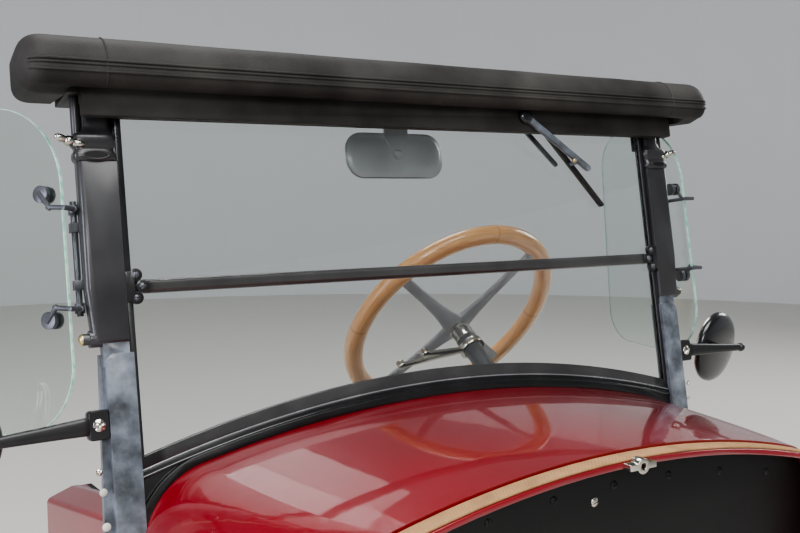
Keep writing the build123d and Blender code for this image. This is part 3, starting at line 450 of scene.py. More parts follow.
def honeyWood():
    material, tree, shader, spot = newMaterial("honeyVarnishedWood")
    radial, rise = (addNode(tree, "Attribute", {"attribute_name": key}).outputs["Fac"]
                    for key in ("radial", "rise"))
    streak = addNode(tree, "CombineXYZ", None, X=radial, Y=rise)
    drift = addNode(tree, "VectorMath", {"operation": "MULTIPLY_ADD", 1: (9.0, 9.0, 9.0)},
                    {0: spot, 2: streak})
    grain = addNode(tree, "TexNoise", {"Scale": 1.6, "Detail": 5.0, "Roughness": 0.6}, Vector=drift)
    stops = ((0.3, rimWood["dark"]), (0.46, rimWood["honey"]), (0.68, rimWood["pale"]))
    tint = addNode(tree, "ValToRGB", {"stops": stops}, Fac=grain)
    count = addNode(tree, "Math", {"operation": "MULTIPLY", 1: rimWood["joints"]}, {0: turnOf(tree)})
    part = addNode(tree, "Math", {"operation": "FRACT"}, {0: count})
    seam = addNode(tree, "MapRange", {"From Max": 0.012, "To Min": 0.8, "To Max": 0.0}, Value=part)
    jointed = addNode(tree, "Mix", {"data_type": "RGBA", 7: linear(rimWood["joint"])}, {0: seam, 6: tint})
    bump = addNode(tree, "Bump", {"Strength": 0.06, "Distance": 0.0008}, Height=grain)
    dress(shader, {"Base Color": jointed.outputs[2], "Normal": bump},
          Roughness=0.3, Coat_Weight=1.0, Coat_Roughness=0.05)
    return material


# Cotton webbing: a twill whose ribs are drawn 2.4 mm apart so that they show, soiled in patches
weave = {"thread": "#C79E74", "shade": "#A07A52", "soil": "#5E4530", "twill": 260.0}


def cottonWebbing():
    material, tree, shader, spot = newMaterial("wovenCottonWebbing")
    # the twill runs along the strip, which goes outwards over the crown and then down the sides
    apart = addNode(tree, "SeparateXYZ", None, Vector=spot)
    outwards = addNode(tree, "Math", {"operation": "ABSOLUTE"}, {0: apart.outputs["X"]})
    around = addNode(tree, "Math", {"operation": "SUBTRACT"}, {0: outwards, 1: apart.outputs["Z"]})
    woven = addNode(tree, "CombineXYZ", None, X=around, Y=apart.outputs["Y"])
    settings = {"Scale": weave["twill"], "Distortion": 2.0, "Detail": 2.0, "bands_direction": "DIAGONAL"}
    twill = addNode(tree, "TexWave", settings, Vector=woven).outputs["Fac"]
    tint = addNode(tree, "ValToRGB", {"stops": ((0.2, weave["shade"]), (0.7, weave["thread"]))}, Fac=twill)
    cloud = addNode(tree, "TexNoise", {"Scale": 22.0, "Detail": 5.0}, Vector=spot)
    dirt = addNode(tree, "MapRange", {"From Min": 0.5, "From Max": 0.8, "To Max": 0.55}, Value=cloud)
    soiled = addNode(tree, "Mix", {"data_type": "RGBA", 7: linear(weave["soil"])}, {0: dirt, 6: tint})
    bump = addNode(tree, "Bump", {"Strength": 0.7, "Distance": 0.001}, Height=twill)
    dress(shader, {"Base Color": soiled.outputs[2], "Normal": bump}, Roughness=0.9)
    return material


def clearGlass(name, tint):
    # old plate glass: clear, with wiped smears that only change its gloss
    material, tree, shader, spot = newMaterial(name)
    smear = addNode(tree, "TexNoise", {"Scale": 9.0, "Detail": 4.0}, Vector=spot)
    haze = addNode(tree, "MapRange", {"To Max": 0.012}, Value=smear)
    dress(shader, {"Roughness": haze}, Base_Color=linear(tint), Transmission_Weight=1.0, IOR=1.5)
    return material


def glowingGroundEdge(name, paintedGlow):
    # ground edge of plate glass: pale green, with a painted glow of the same colour
    material, tree, shader, spot = newMaterial(name)
    chips = addNode(tree, "TexNoise", {"Scale": 120.0, "Detail": 3.0}, Vector=spot)
    tint = addNode(tree, "ValToRGB", {"stops": ((0.35, "#8FCDB6"), (0.65, "#D2F2E6"))}, Fac=chips)
    dress(shader, {"Base Color": tint, "Emission Color": tint},
          Emission_Strength=paintedGlow, Roughness=0.35, Transmission_Weight=0.4)
    return material


# Dial card: black, with pale marks round its rim
card = {"marks": 24.0, "ink": "#101010", "mark": "#D8D2BE"}


def dialCard():
    material, tree, shader, spot = newMaterial("dialCard")
    east, north = (addNode(tree, "Attribute", {"attribute_name": key}).outputs["Fac"]
                   for key in ("east", "north"))
    reach = addNode(tree, "CombineXYZ", None, X=east, Y=north)
    radial = addNode(tree, "VectorMath", {"operation": "LENGTH"}, {0: reach})
    count = addNode(tree, "Math", {"operation": "MULTIPLY", 1: card["marks"]}, {0: turnOf(tree)})
    part = addNode(tree, "Math", {"operation": "PINGPONG", 1: 0.5}, {0: count})
    mark = addNode(tree, "MapRange", {"From Min": 0.05, "From Max": 0.08, "To Min": 1.0, "To Max": 0.0},
                   Value=part)
    rim = addNode(tree, "MapRange", {"From Min": 0.78, "From Max": 0.8}, Value=radial.outputs["Value"])
    both = addNode(tree, "Math", {"operation": "MULTIPLY"}, {0: mark, 1: rim})
    tint = addNode(tree, "ValToRGB", {"stops": ((0.0, card["ink"]), (1.0, card["mark"]))}, Fac=both)
    dress(shader, {"Base Color": tint}, Roughness=0.25, Coat_Weight=1.0)
    return material


finishes = {
    "red_paint": redEnamel(),
    # enamels, from wet-looking stoved black to dull pitch
    "black_paint": plain("blackStoveEnamel", "#131416", "#232529", 0.26, Coat_Weight=0.6,
                         Coat_Roughness=0.12),
    "worn_paint": wornEnamel(),
    "post_enamel": plain("postEnamel", "#242425", "#363638", 0.4, Coat_Weight=0.5, Coat_Roughness=0.16),
    "rail_enamel": railEnamel(),
    "arm_enamel": plain("armEnamel", "#131314", "#202021", 0.42, Coat_Weight=0.25, Coat_Roughness=0.2),
    "pitch_enamel": plain("pitchEnamel", "#050506", "#0B0B0C", 0.5),
    "spoke_paint": plain("greySpokeEnamel", "#97999C", "#B3B5B8", 0.32, grain=0.0025, depth=0.2),
    # wood: matt black boards, oiled bearers, varnished instrument board and rim
    "black_boards": plain("blackPaintedBoard", "#151414", "#232221", 0.5),
    "ash": plain("oiledAsh", "#8A6A45", "#A5825A", 0.55),
    "dash_wood": plain("varnishedMahogany", "#4A1F10", "#6A3018", 0.25, Coat_Weight=0.6),
    "rim_wood": honeyWood(),
    # metal: blued steel, a pale metallic strip that is a painted highlight, dulled plating, nickel and brass
    # with soft highlights
    "dark_steel": plain("darkSteel", "#4C4E51", "#66696D", 0.34, metallic=0.5),
    "painted_highlight_strip": plain("paintedHighlightStrip", "#8C8E90", "#A8AAAB", 0.26, metallic=0.6),
    "dull_chrome": plain("greyMirrorShell", "#AEB2B4", "#C2C6C8", 0.3, grain=0.003, Coat_Weight=0.6),
    "nickel": plain("agedNickel", "#B6B2A8", "#E4E0D6", 0.2, metallic=1.0, grain=0.002),
    "brass": plain("rubbedBrass", "#A98F5C", "#E2CFA0", 0.28, metallic=1.0, grain=0.002),
    # cloth and rubber: woven strip, grained cover, matt strip with one wet-looking bead, pale buffers
    "webbing": cottonWebbing(),
    "leathercloth": leathercloth(),
    "gasket_rubber": plain("blackRubber", "#0B0B0B", "#191918", 0.32, Coat_Weight=0.3),
    "bright_black": plain("wetBlackRubber", "#101012", "#1C1C1F", 0.16, Coat_Weight=1.0,
                          Coat_Roughness=0.05),
    "white_rubber": plain("paleRubber", "#B8B4AA", "#D6D2C8", 0.6),
    # glass: clear panes, edges with a painted glow (strong and green, or faint), silvering, dial cards
    "pane_glass": clearGlass("plateGlass", "#F7FAF9"),
    "wing_glass": clearGlass("wingGlass", "#F2F9F5"),
    "glass_edge": glowingGroundEdge("greenGroundEdgePaintedGlow", 0.4),
    "plain_edge": glowingGroundEdge("clearGroundEdgePaintedGlow", 0.03),
    "mirror_glass": plain("silveredGlass", "#B8BCC0", "#C8CCD0", 0.04, metallic=1.0, depth=0.0),
    "dial_card": dialCard(),
}

for name, node in parts.items():
    node.data.materials.clear()
    node.data.materials.append(finishes[slotOf[name]])
print("finishes given to the frame's nodes")


# Softened copies of the frame's hard nodes: doubles merged, flats joined, edges rolled over by so many mm
softened = {
    "upper_frame": 1.0, "lower_frame": 1.0, "mid_rail": 0.8, "screen_gasket": 0.8, "bonnet_ledge": 1.5,
    "bonnet_lacing": 1.2, "hinge_socket": 1.0, "bulkhead": 1.0, "instrument_board": 1.5,
    "stanchion_right": 1.2, "stanchion_left": 1.2, "upper_post_right": 2.6, "upper_post_left": 2.6,
    "header_bow": 1.2, "header_valance": 1.5, "wiper_arm": 0.9, "wiper_blade": 0.8, "wiper_spindle": 0.6,
    "column_bracket": 1.5, "control_levers": 0.6, "wing_rod_right": 0.6, "wing_rod_left": 0.6,
}
# Of these, the ones whose finish differs from their slot's
refinished = {
    "mid_rail": "rail_enamel", "lower_frame": "rail_enamel", "bulkhead": "pitch_enamel",
    "upper_post_right": "post_enamel", "upper_post_left": "post_enamel", "header_valance": "leathercloth",
    "wiper_arm": "worn_paint", "wiper_spindle": "worn_paint",
}


def soften(name, width):
    data = parts[name].data.copy()
    data.name = name + "Softened"
    form = bmesh.new()
    form.from_mesh(data)
    bmesh.ops.remove_doubles(form, verts=form.verts, dist=0.00001)
    bmesh.ops.dissolve_limit(form, angle_limit=math.radians(0.8), verts=form.verts, edges=form.edges)
    form.to_mesh(data)
    form.free()
    data.polygons.foreach_set("use_smooth", [True] * len(data.polygons))
    if name in refinished:
        data.materials[0] = finishes[refinished[name]]
    obj = addObject(name + "Softened", data)
    edge = obj.modifiers.new("rolledEdge", "BEVEL")
    edge.width = width * mm
    edge.segments = 2
    edge.limit_method = "ANGLE"
    edge.angle_limit = math.radians(32)
    edge.harden_normals = True
    edge.use_clamp_overlap = True
    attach(obj, parts[name]["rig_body"])
    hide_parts(name)


for name, width in softened.items():
    soften(name, width)
print("hard edges softened")


# Header roll: padding under leathercloth along the header, bullnosed at both ends. Its section is drawn
# looking along the car's width: distance in front of the screen's plane, height up it
roll = {"half": 638.0, "bull": 38.0, "middle": (8.0, 303.0), "seam": 532.0, "seamRadius": 1.4,
        "lowerNose": ((60, 266), (76, 273), (81, 292)), "upperNose": ((81, 292), (68, 327), (28, 341)),
        "back": ((28, 341), (-20, 338.2), (-58, 334.4), (-63.5, 331.5), (-66, 326)),
        "footOnBow": ((-66, 296), (38, 296), (38, 274)), "footPastBow": ((-66, 275), (38, 261)),
        "bowEnd": 572.0, "step": 6.0, "pucker": 0.7, "sag": 0.6,
        "beads": (283.0, 291.0, 299.0), "beadRadius": 2.2, "beadReach": 628.0}


def arcThrough(a, b, c, count):
    # points on the circle through a, b and c: its centre plus its radius, turned from a's bearing to c's
    (ax, ay), (bx, by), (cx, cy) = a, b, c
    d = 2 * (ax * (by - cy) + bx * (cy - ay) + cx * (ay - by))
    aa, bb, cc = ax**2 + ay**2, bx**2 + by**2, cx**2 + cy**2
    ux = (aa * (by - cy) + bb * (cy - ay) + cc * (ay - by)) / d
    uy = (aa * (cx - bx) + bb * (ax - cx) + cc * (bx - ax)) / d
    first, last = math.atan2(ay - uy, ax - ux), math.atan2(cy - uy, cx - ux)
    last += 2 * math.pi * round((first - last) / (2 * math.pi))
    turn = np.linspace(first, last, count)
    size = math.hypot(ax - ux, ay - uy)
    return np.stack([ux + size * np.cos(turn), uy + size * np.sin(turn)], -1)


def along(points, count):
    # points spaced evenly along an open line of points
    points = np.asarray(points, float)
    run = np.concatenate([[0], np.cumsum(np.linalg.norm(np.diff(points, axis=0), axis=1))])
    spaced = np.linspace(0, run[-1], count)
    return np.stack([np.interp(spaced, run, points[:, k]) for k in range(points.shape[1])], -1)


def rollOutline(foot):
    # two arcs round the nose, then back over the top, down and forwards along the foot
    nose = np.concatenate([arcThrough(*roll["lowerNose"], 9)[:-1], arcThrough(*roll["upperNose"], 17)])
    back = along(roll["back"] + foot[:1], 14)[1:]
    under = along(foot + roll["lowerNose"][:1], 22)[1:-1]
    return np.concatenate([nose, back, under])


def rollSurface():
    # the section, scaled about its middle by (1 - d^3)^(1/3) with d from 0 to 1 over the bullnose, carried
    # along x; sines of two lengths pucker the cloth below the seam, and a slow one sags the top
    straight = roll["half"] - roll["bull"]
    bull = straight + roll["bull"] * np.sin(np.linspace(0.08, 1.57, 15))
    left = np.concatenate([np.linspace(0, 560, 57), np.linspace(566, straight, 9), bull])
    x = np.concatenate([-left[:0:-1], left])
    past = np.clip((np.abs(x) - roll["bowEnd"]) / roll["step"], 0, 1)[:, None, None]
    section = rollOutline(roll["footOnBow"]) * (1 - past) + rollOutline(roll["footPastBow"]) * past
    d = np.clip((np.abs(x) - straight) / roll["bull"], 0, 1)
    share = np.maximum((1 - d ** 3) ** (1 / 3), 0.02)[:, None, None]
    middle = np.array(roll["middle"])
    section = middle + (section - middle) * share
    n, h = section[..., 0], section[..., 1]
    wave = np.sin(x / 6.1) * np.sin(x / 17.3 + 1.1)
    pucker = roll["pucker"] * wave[:, None] * np.clip((300 - h) / 30, 0, 1)
    sag = roll["sag"] * np.sin(x / 71.0 + 0.4)[:, None] * np.clip((h - 300) / 40, 0, 1)
    return onScreen(x[:, None], h - np.abs(sag), n - np.abs(pucker) * np.clip(n / 60, 0, 1)), x


surface, rollX = rollSurface()
cushion = newPiece("headerRollCover", grid(surface), "leathercloth", replaced="header_roll", sharp=50)
# three beads run along the front at their heights, and a seam goes round the nose near each end
noseHeights = rollOutline(roll["footPastBow"])[:24, 1]
beads = []
for height in roll["beads"]:
    column = int(np.argmin(np.abs(noseHeights - height)))
    beads.append(rod(surface[np.abs(rollX) < roll["beadReach"], column], roll["beadRadius"], 8))
for x in (-roll["seam"], roll["seam"]):
    row = int(np.argmin(np.abs(rollX - x)))
    beads.append(rod(surface[row, 2:34], roll["seamRadius"], 6))
newPiece("rollBeading", merge(*beads), "leathercloth")
print("header roll covered")


# Steering wheel: oval wooden rim, cast spider with four arms and bolts, nickel sleeve under the hub.
# Profiles are radius and distance along the column, from the wheel's centre
wheel = {"radius": 218.0, "wide": 19.0, "deep": 15.5, "arms": (36, 124, 216, 304),
         "armWide": (20.0, 24.0, 56.0), "armDeep": (10.5, 8.0, 40.0), "armFoot": -20.0,
         "armRise": 12.0 / 187,
         "hub": ((17.5, -28.5), (24.0, -27.6), (27.6, -24.5), (28.2, -20.0), (26.6, -15.0), (21.0, -12.2),
                 (12.0, -10.6), (0.6, -10.2)),
         "boss": ((15.6, -59), (15.6, -106)),
         "sleeve": ((18.0, -1), (18.8, -27), (20.6, -29), (20.6, -33), (18.8, -35), (18.8, -54), (20.2, -56),
                    (20.2, -60), (18.0, -60.2)),
         "bolts": (38, 176), "boltRadius": 4.2, "boltHeight": 2.2, "boltSeat": 5.4}


def woodRim():
    # ring of superellipses: radius R + a |cos t|^0.85 and height b |sin t|^0.85, signed as cos and sin
    turn = fullTurn(160)[:, None]
    c, s = oval(fullTurn(28)[None, :], 0.85)
    radial = wheel["wide"] * c * np.ones_like(turn)
    rise = wheel["deep"] * s * np.ones_like(turn)
    reach = wheel["radius"] + radial
    ring = onWheel(reach * np.cos(turn), reach * np.sin(turn), rise)
    marks = {"radial": radial, "rise": rise, "east": np.cos(turn) + 0 * c, "north": np.sin(turn) + 0 * c}
    return grid(ring, closeRows=True), marks


def armLevel(r):
    # the arms rise evenly with the radius
    return wheel["armFoot"] + wheel["armRise"] * (r - 16)


def castSpider():
    # arms: superellipses round a radial line, each size e + f exp(-q / g) at a distance q outside the hub
    r = np.concatenate([np.linspace(4, 60, 12), np.linspace(70, 206, 12)])[:, None]
    c, s = oval(fullTurn(20)[None, :], 0.8)
    q = np.maximum(r - 20, 0)
    wide, deep = ((e + f * np.exp(-q / g)) / 2 for e, f, g in (wheel["armWide"], wheel["armDeep"]))
    pieces = [lathe(wheel[key], wheelOrigin, wheelZ, steps) for key, steps in (("hub", 48), ("boss", 32))]
    for angle in np.radians(wheel["arms"]):
        x = r * math.cos(angle) - wide * c * math.sin(angle)
        y = r * math.sin(angle) + wide * c * math.cos(angle)
        pieces.append(grid(onWheel(x, y, armLevel(r) + deep * s)))
    return merge(*pieces)


rimMesh, rimMarks = woodRim()
newPiece("castSpider", castSpider(), "spoke_paint", body="steering_wheel", replaced="wheel_spider", sharp=60)
newPiece("woodenRim", rimMesh, "rim_wood", body="steering_wheel", replaced="wheel_rim", marks=rimMarks)
newPiece("hubSleeve", lathe(wheel["sleeve"], wheelOrigin, wheelZ, 40), "nickel", body="steering_wheel")
print("wheel dressed")


# Post knuckles: a cast collar lofted up the post, with a lipped oval cup whose hollow is a flat pitch-black
# disc of painted shade, the header's rod and a wing nut.
# Sections are height, inner and outer edge across the car, back and front
knuckle = {"sections": ((268, 517, 551, -10, 10), (227, 517, 551, -10, 10), (219, 515, 556, -11, 11),
                        (214.5, 511, 566, -13, 14), (211, 510, 568, -15, 16), (199, 510, 568, -15, 16),
                        (195.5, 512, 565, -13, 13), (192, 512, 565, -13, 13), (187, 510, 568, -15, 17),
                        (181, 510, 568, -15, 17), (177, 511, 566, -14, 15), (175.5, 513, 563, -12, 12)),
           "cup": (538.0, 184.0), "cupHalf": (16.0, 4.8), "lipHalf": (17.0, 5.6), "lip": 1.5,
           "rod": 6.5, "rodX": 560.0, "rodHeights": (205.0, 240.0, 270.0)}
wingNut = {"seat": (572.0, 204.0, 8.0), "spread": 11.0, "lift": 4.0, "wing": (10.0, 5.6),
           "barrel": ((7.6, -1), (8.0, 2), (6.4, 6.5), (4.0, 9.2), (0.6, 9.8))}
nuts = []
for side, name in bothSides:
    t = fullTurn(36)
    c, s = oval(t, 0.45)
    h, inside, outside, back, front = np.array(knuckle["sections"], float).T[:, :, None]
    collar = grid(onScreen(side * ((inside + outside) / 2 + (outside - inside) / 2 * c), h + 0 * c,
                           (back + front) / 2 + (front - back) / 2 * s))
    cupX, cupH = knuckle["cup"]
    rings = [(side * (cupX + a * np.cos(t)), cupH + b * np.sin(t))
             for a, b in (knuckle["lipHalf"], knuckle["cupHalf"])]
    lip = rod(onScreen(*rings[0], 16.6), knuckle["lip"], 8, closed=True)
    stay = rod([onScreen(side * knuckle["rodX"], h, 0.0) for h in knuckle["rodHeights"]], knuckle["rod"], 20)
    newPiece("postKnuckle" + name.title(), merge(collar, lip, stay), "post_enamel",
             replaced="post_knuckle_" + name, sharp=60)
    # the cup's hollow is painted shade: a flat pitch-black disc inside the lip
    cup = screenPlate(np.stack(rings[1], -1), 16.2, 17.3, 0.3)
    newPiece("knuckleCupPaintedShade" + name.title(), cup, "pitch_enamel")
    x, h, n = wingNut["seat"]
    seat = onScreen(side * x, h, n)
    nuts.append(lathe(wingNut["barrel"], seat, out, 24))
    for way in (1, -1):
        spread = unit(across * side * 0.95 + up * 0.3) * way
        middle = seat + spread * wingNut["spread"] + out * wingNut["lift"]
        nuts.append(ellipsoid(middle, unit(spread + 0.25 * out), *wingNut["wing"]))
newPiece("wingNuts", merge(*nuts), "nickel", sharp=70)
print("knuckles cast")


# Side wings of plate glass with ground edges. Corners are height up the screen, distance behind the post's
# face and radius; each wing has its flare in degrees, and how far its front edge stands out and forwards
wings = {"thick": 6.0, "edge": 0.8, "postOuter": 564.0,
         "corners": ((-206, 0, 95), (254, 0, 125), (254, 260, 70), (-206, 300, 70)),
         "set": ((-1, "right", 38.0, 19.5, 0.0, "glass_edge"), (1, "left", 8.0, 24.7, 27.0, "plain_edge"))}
# the right wing's edge finish carries a strong green painted glow, the left wing's a faint one
for side, name, flare, standOut, lead, edgeFinish in wings["set"]:
    flare = math.radians(flare)
    rearward = np.array((side * math.sin(flare), math.cos(flare), 0.0))
    lean = rearward @ up
    steep = math.sqrt(1 - lean ** 2)
    square = (up - lean * rearward) / steep
    outline = rounded([(h * lean + back, h * steep) for h, back, r in wings["corners"]],
                      [r for h, back, r in wings["corners"]], 16)
    origin = onScreen(side * (wings["postOuter"] + standOut), 0.0, lead)
    pane = plate(outline, origin, (rearward, square, np.cross(rearward, square)),
                 -wings["thick"] / 2, wings["thick"] / 2, wings["edge"])
    newPiece("wingPane" + name.title(), pane, "wing_glass", replaced="wing_glass_" + name,
             edgeFinish=edgeFinish, sharp=25)
print("wing panes cut")


# Round side mirrors: spun shell, plated rim and silvered disc, as profiles of radius and distance forwards
sideMirror = {"place": (742.0, 225.0, 620.0), "toe": 13.0, "tilt": 7.0,
              "shell": ((66, -0.6), (72.5, -0.6), (74.6, -1.6), (75, -4), (74.4, -9), (70, -14), (62, -17.5),
                        (46, -20.5), (24, -22.6), (4, -23)),
              "rim": ((70.6, -1.2), (71.2, 0.2), (72.8, 1.0), (74.6, 0.4), (75.2, -1.4), (74.9, -3.0)),
              "disc": ((70.6, -0.9), (70.6, -0.2), (69.8, 0.1))}
# Mirror arms: clamp on the stanchion, tapered oval arm, ball joint and round stem into the shell
mirrorArm = {"clamp": (559.0, 14.0, -204.0, -164.0), "clampBack": -4.0, "clampFront": 15.0, "root": 13.0,
             "tip": 6.5, "depth": 6.0, "start": 570.0, "end": 722.0, "height": -184.0, "drop": 8.0,
             "front": 10.0, "ball": (720.0, -192.0, 10.0), "ballHalf": 9.5, "ballRadius": 8.6, "stem": 6.0,
             "stemReach": 20.0}


def mirrorSeat(side):
    # the mirror's centre, and the way that it faces: to the rear, toed in and tilted up
    x, y, z = sideMirror["place"]
    toe, tilt = math.radians(sideMirror["toe"]), math.radians(sideMirror["tilt"])
    facing = (-side * math.sin(toe) * math.cos(tilt), math.cos(toe) * math.cos(tilt), math.sin(tilt))
    return np.array((side * x, y, z)), np.array(facing)


for side, name in bothSides:
    shell, rim, disc = (lathe(sideMirror[key], *mirrorSeat(side), 72) for key in ("shell", "rim", "disc"))
    newPiece("mirrorShell" + name.title(), shell, "black_paint", replaced="mirror_head_" + name, sharp=50)
    newPiece("mirrorRim" + name.title(), rim, "nickel")
    newPiece("mirrorDisc" + name.title(), disc, "mirror_glass", sharp=20)
print("side mirrors dressed")


def taperedArm(side):
    # superellipses of half height a + (b - a) t^0.8 along the arm, their ends drawn in to close it
    c, s = oval(fullTurn(20), 0.8)
    t = np.concatenate([[0.0], np.linspace(0.02, 0.98, 24), [1.0]])[:, None]
    drawn = np.where((t == 0) | (t == 1), 0.7, 1.0)
    high = (mirrorArm["root"] + (mirrorArm["tip"] - mirrorArm["root"]) * t ** 0.8) * drawn
    x = mirrorArm["start"] + (mirrorArm["end"] - mirrorArm["start"]) * t
    return grid(onScreen(side * x + 0 * c, mirrorArm["height"] - mirrorArm["drop"] * t + high * c,
                         mirrorArm["front"] + mirrorArm["depth"] * drawn * s))


for side, name in bothSides:
    x, half, low, high = mirrorArm["clamp"]
    clamp = screenPlate(rounded(boxOutline(side * x, half, low, high), [5.0] * 4, 6),
                        mirrorArm["clampBack"], mirrorArm["clampFront"], 1.6)
    x, h, n = mirrorArm["ball"]
    ball = ellipsoid(onScreen(side * x, h, n), out, mirrorArm["ballHalf"], mirrorArm["ballRadius"])
    centre, facing = mirrorSeat(side)
    ends = [onScreen(side * (x - 2), h, n), centre - facing * mirrorArm["stemReach"]]
    stem = rod(ends, mirrorArm["stem"], 16)
    newPiece("mirrorArm" + name.title(), merge(clamp, taperedArm(side), ball, stem), "arm_enamel",
             replaced="mirror_arm_" + name, sharp=45)
print("mirror arms hung")


# Inner mirror: dished shell with a pale bead round its rim that is a painted highlight, silvered face to the
# rear, hanger and ball joint. The shell's rings are how far each is drawn in from the outline, and its
# distance in front of the screen
inner = {"x": 3.0, "h": 214.0, "wide": 196.0, "high": 80.0, "corner": 32.0,
         "shell": ((1.8, -94.6), (0.3, -94.2), (0.0, -92.6), (0.3, -91.2), (2.2, -90.4), (3.4, -90.2),
                   (6.0, -88.2), (11.0, -86.2), (20.0, -85.2), (28.0, -85.0)),
         "ball": ((2.0, -86.0), (7.0, -85.6), (8.0, -83.0), (8.2, -80.0), (7.6, -76.5), (5.4, -73.4),
                  (2.4, -72.0), (0.4, -71.8)),
         "tongue": ((-25, 290), (-24, 248), (-21, 236), (-9, 222), (-8, 216), (-5, 211), (5, 211), (8, 216),
                    (9, 222), (21, 236), (24, 248), (25, 290)),
         "face": (1.8, -95.0, -94.2), "bead": (1.0, -92.4, 1.7), "tongueDepth": (-84.5, -80.5, 0.8),
         "plates": ((30.0, 268.0, 295.5, 5.0, -64.0, -60.2, 0.6),
                    (25.0, 270.0, 289.0, 2.0, -83.0, -62.0, 0.6))}


def innerOutline(draw):
    w, h, r = inner["wide"] / 2 - draw, inner["high"] / 2 - draw, inner["corner"] - draw * 0.9
    return rounded(boxOutline(inner["x"], w, inner["h"] - h, inner["h"] + h), [r] * 4, 12)


layers = [onScreen(*innerOutline(draw).T, n) for draw, n in inner["shell"]]
newPiece("innerMirrorShell", grid(np.stack(layers)), "dull_chrome",
         replaced="inner_mirror", sharp=40)
draw, back, front = inner["face"]
newPiece("innerMirrorFace", screenPlate(innerOutline(draw), back, front, 0.3), "mirror_glass", sharp=20)
# the hanger: a waisted tongue, the plate that backs it on the header and the block between them
hanger = [screenPlate(np.array(inner["tongue"], float) + (inner["x"], 0), *inner["tongueDepth"])]
for half, low, high, radius, back, front, edge in inner["plates"]:
    outline = rounded(boxOutline(inner["x"], half, low, high), [radius] * 4)
    hanger.append(screenPlate(outline, back, front, edge))
newPiece("mirrorHanger", merge(*hanger), "dull_chrome", replaced="mirror_bracket",
         sharp=30)
newPiece("mirrorBall", lathe(inner["ball"], onScreen(inner["x"], inner["h"], 0.0), out, 28), "dull_chrome")
# the pale bead round the shell's rim is a painted highlight
draw, n, radius = inner["bead"]
newPiece("innerMirrorHighlightBead", rod(onScreen(*innerOutline(draw).T, n), radius, 8, closed=True), "painted_highlight_strip")
print("inner mirror dressed")


# Instruments: cards and hands under the bezels, at places across the car, height and bezel radius
dials = {"places": ((-40, 558, 42), (60, 556, 30), (-140, 554, 30)), "face": 207.0, "bezel": 4.5}
cards, hands, marks = [], [], {"east": [], "north": []}
for x, z, r in dials["places"]:
    # rings of points seen from the driver's seat; marks are the same rings at unit radius
    turn = fullTurn(48)
    reach = np.array((0.999, 0.8, 0.5, 0.2, 0.02))[:, None]
    east, north = reach * np.cos(turn), reach * np.sin(turn)
    size = r - dials["bezel"]
    cards.append(grid(place(np.array((x, dials["face"] + 0.5, z)), (-across, np.array((0, 0, 1.0)), out),
                            east * size, north * size, 0.0)))
    marks["east"].append(east.ravel())
    marks["north"].append(north.ravel())
    pivot = np.array((x, dials["face"] + 1.4, z))
    hands.append(rod([pivot, pivot + (0.5 * r, 0.0, 0.4 * r)], 0.8, 6))
    hands.append(domed(2.6, 1.4, (x, dials["face"] + 0.6, z), (0, 1, 0), 0.0, 16))
newPiece("dialCards", merge(*cards), "dial_card", sharp=30,
         marks={key: np.concatenate(values) for key, values in marks.items()})
newPiece("dialHands", merge(*hands), "nickel")
print("instruments faced")


# Foot of the screen: a pale metallic bead along the lower frame, which is a painted highlight, and a glossy
# one along the lip of the gasket, both on the arc of the frame's foot
foot = {"radius": 1835.2, "centre": -2019.2, "half": 505.0,
        "beads": (("footBead", 1.2, 7.2, 1.5, 8, "painted_highlight_strip", "black_paint"),
                  ("gasketBead", -8.0, 9.0, 2.6, 10, "bright_black", "gasket_rubber"))}
footX = np.linspace(-foot["half"], foot["half"], 90)
footH = foot["centre"] + np.sqrt(foot["radius"] ** 2 - footX ** 2)
for name, rise, n, radius, steps, finish, slot in foot["beads"]:
    newPiece(name, rod(onScreen(footX, footH + rise, n), radius, steps), finish)
print("foot of the screen beaded")


# Black plates that close the gap between header and screen at both sides: painted shade where the gap would
# show what lies behind
gapShadeSheet = {"x": 525.5, "half": 27.5, "low": 213.0, "high": 262.0, "back": -13.0, "front": -9.5}
gapShadeSheets = [screenPlate(boxOutline(side * gapShadeSheet["x"], gapShadeSheet["half"], gapShadeSheet["low"], gapShadeSheet["high"]),
                        gapShadeSheet["back"], gapShadeSheet["front"], 0.5) for side in (-1, 1)]
newPiece("gapShadePlates", merge(*gapShadeSheets), "black_paint")


# Fastenings on the screen: place across it, height, stand-out, radius, head height and turn of the slot.
# On the bulkhead: place across, height, radius, head height and turn
fastenings = {"bright": ((562.0, -247.0, 6.7, 4.6, 2.4, -1.87), (559.0, -184.0, 14.6, 8.5, 4.0, 0.9)),
              "dark": ((487.0, 0.0, 13.8, 4.6, 2.6, 1.1), (496.0, 16.0, 13.8, 4.6, 2.6, 1.9),
                       (496.0, -16.0, 13.8, 4.6, 2.6, 0.3)),
              "buffers": ((558.0, -274.0, 6.8, 5.4, 3.0), (557.0, -320.0, 6.8, 5.8, 3.0)),
              "stopKnob": (571.0, -68.0, 0.0, 8.0, 5.0),
              "bulkhead": {"face": -256.2, "plug": (-33.0, 559.0, 6.4, 3.4, 0.5), "pitch": 100, "top": 576.0,
                           "fall": 3000.0, "screw": (5.6, 2.8)}}
bright, brassy, dark, pale, sunk = [], [], [], [], []
for side in (-1, 1):
    for heads, key in ((bright, "bright"), (dark, "dark")):
        for x, h, n, r, high, slotTurn in fastenings[key]:
            heads.append(screwHead(r, high, onScreen(side * x, h, n), out, slotTurn))
    x, h, n, r, high = fastenings["stopKnob"]
    brassy.append(domed(r, high, onScreen(side * x, h, n), side * across, 1.0, 24))
    for x, h, n, r, high in fastenings["buffers"]:
        pale.append(domed(r, high, onScreen(side * x, h, n), out, 1.0, 24))
forwards, board = (0, -1, 0), fastenings["bulkhead"]
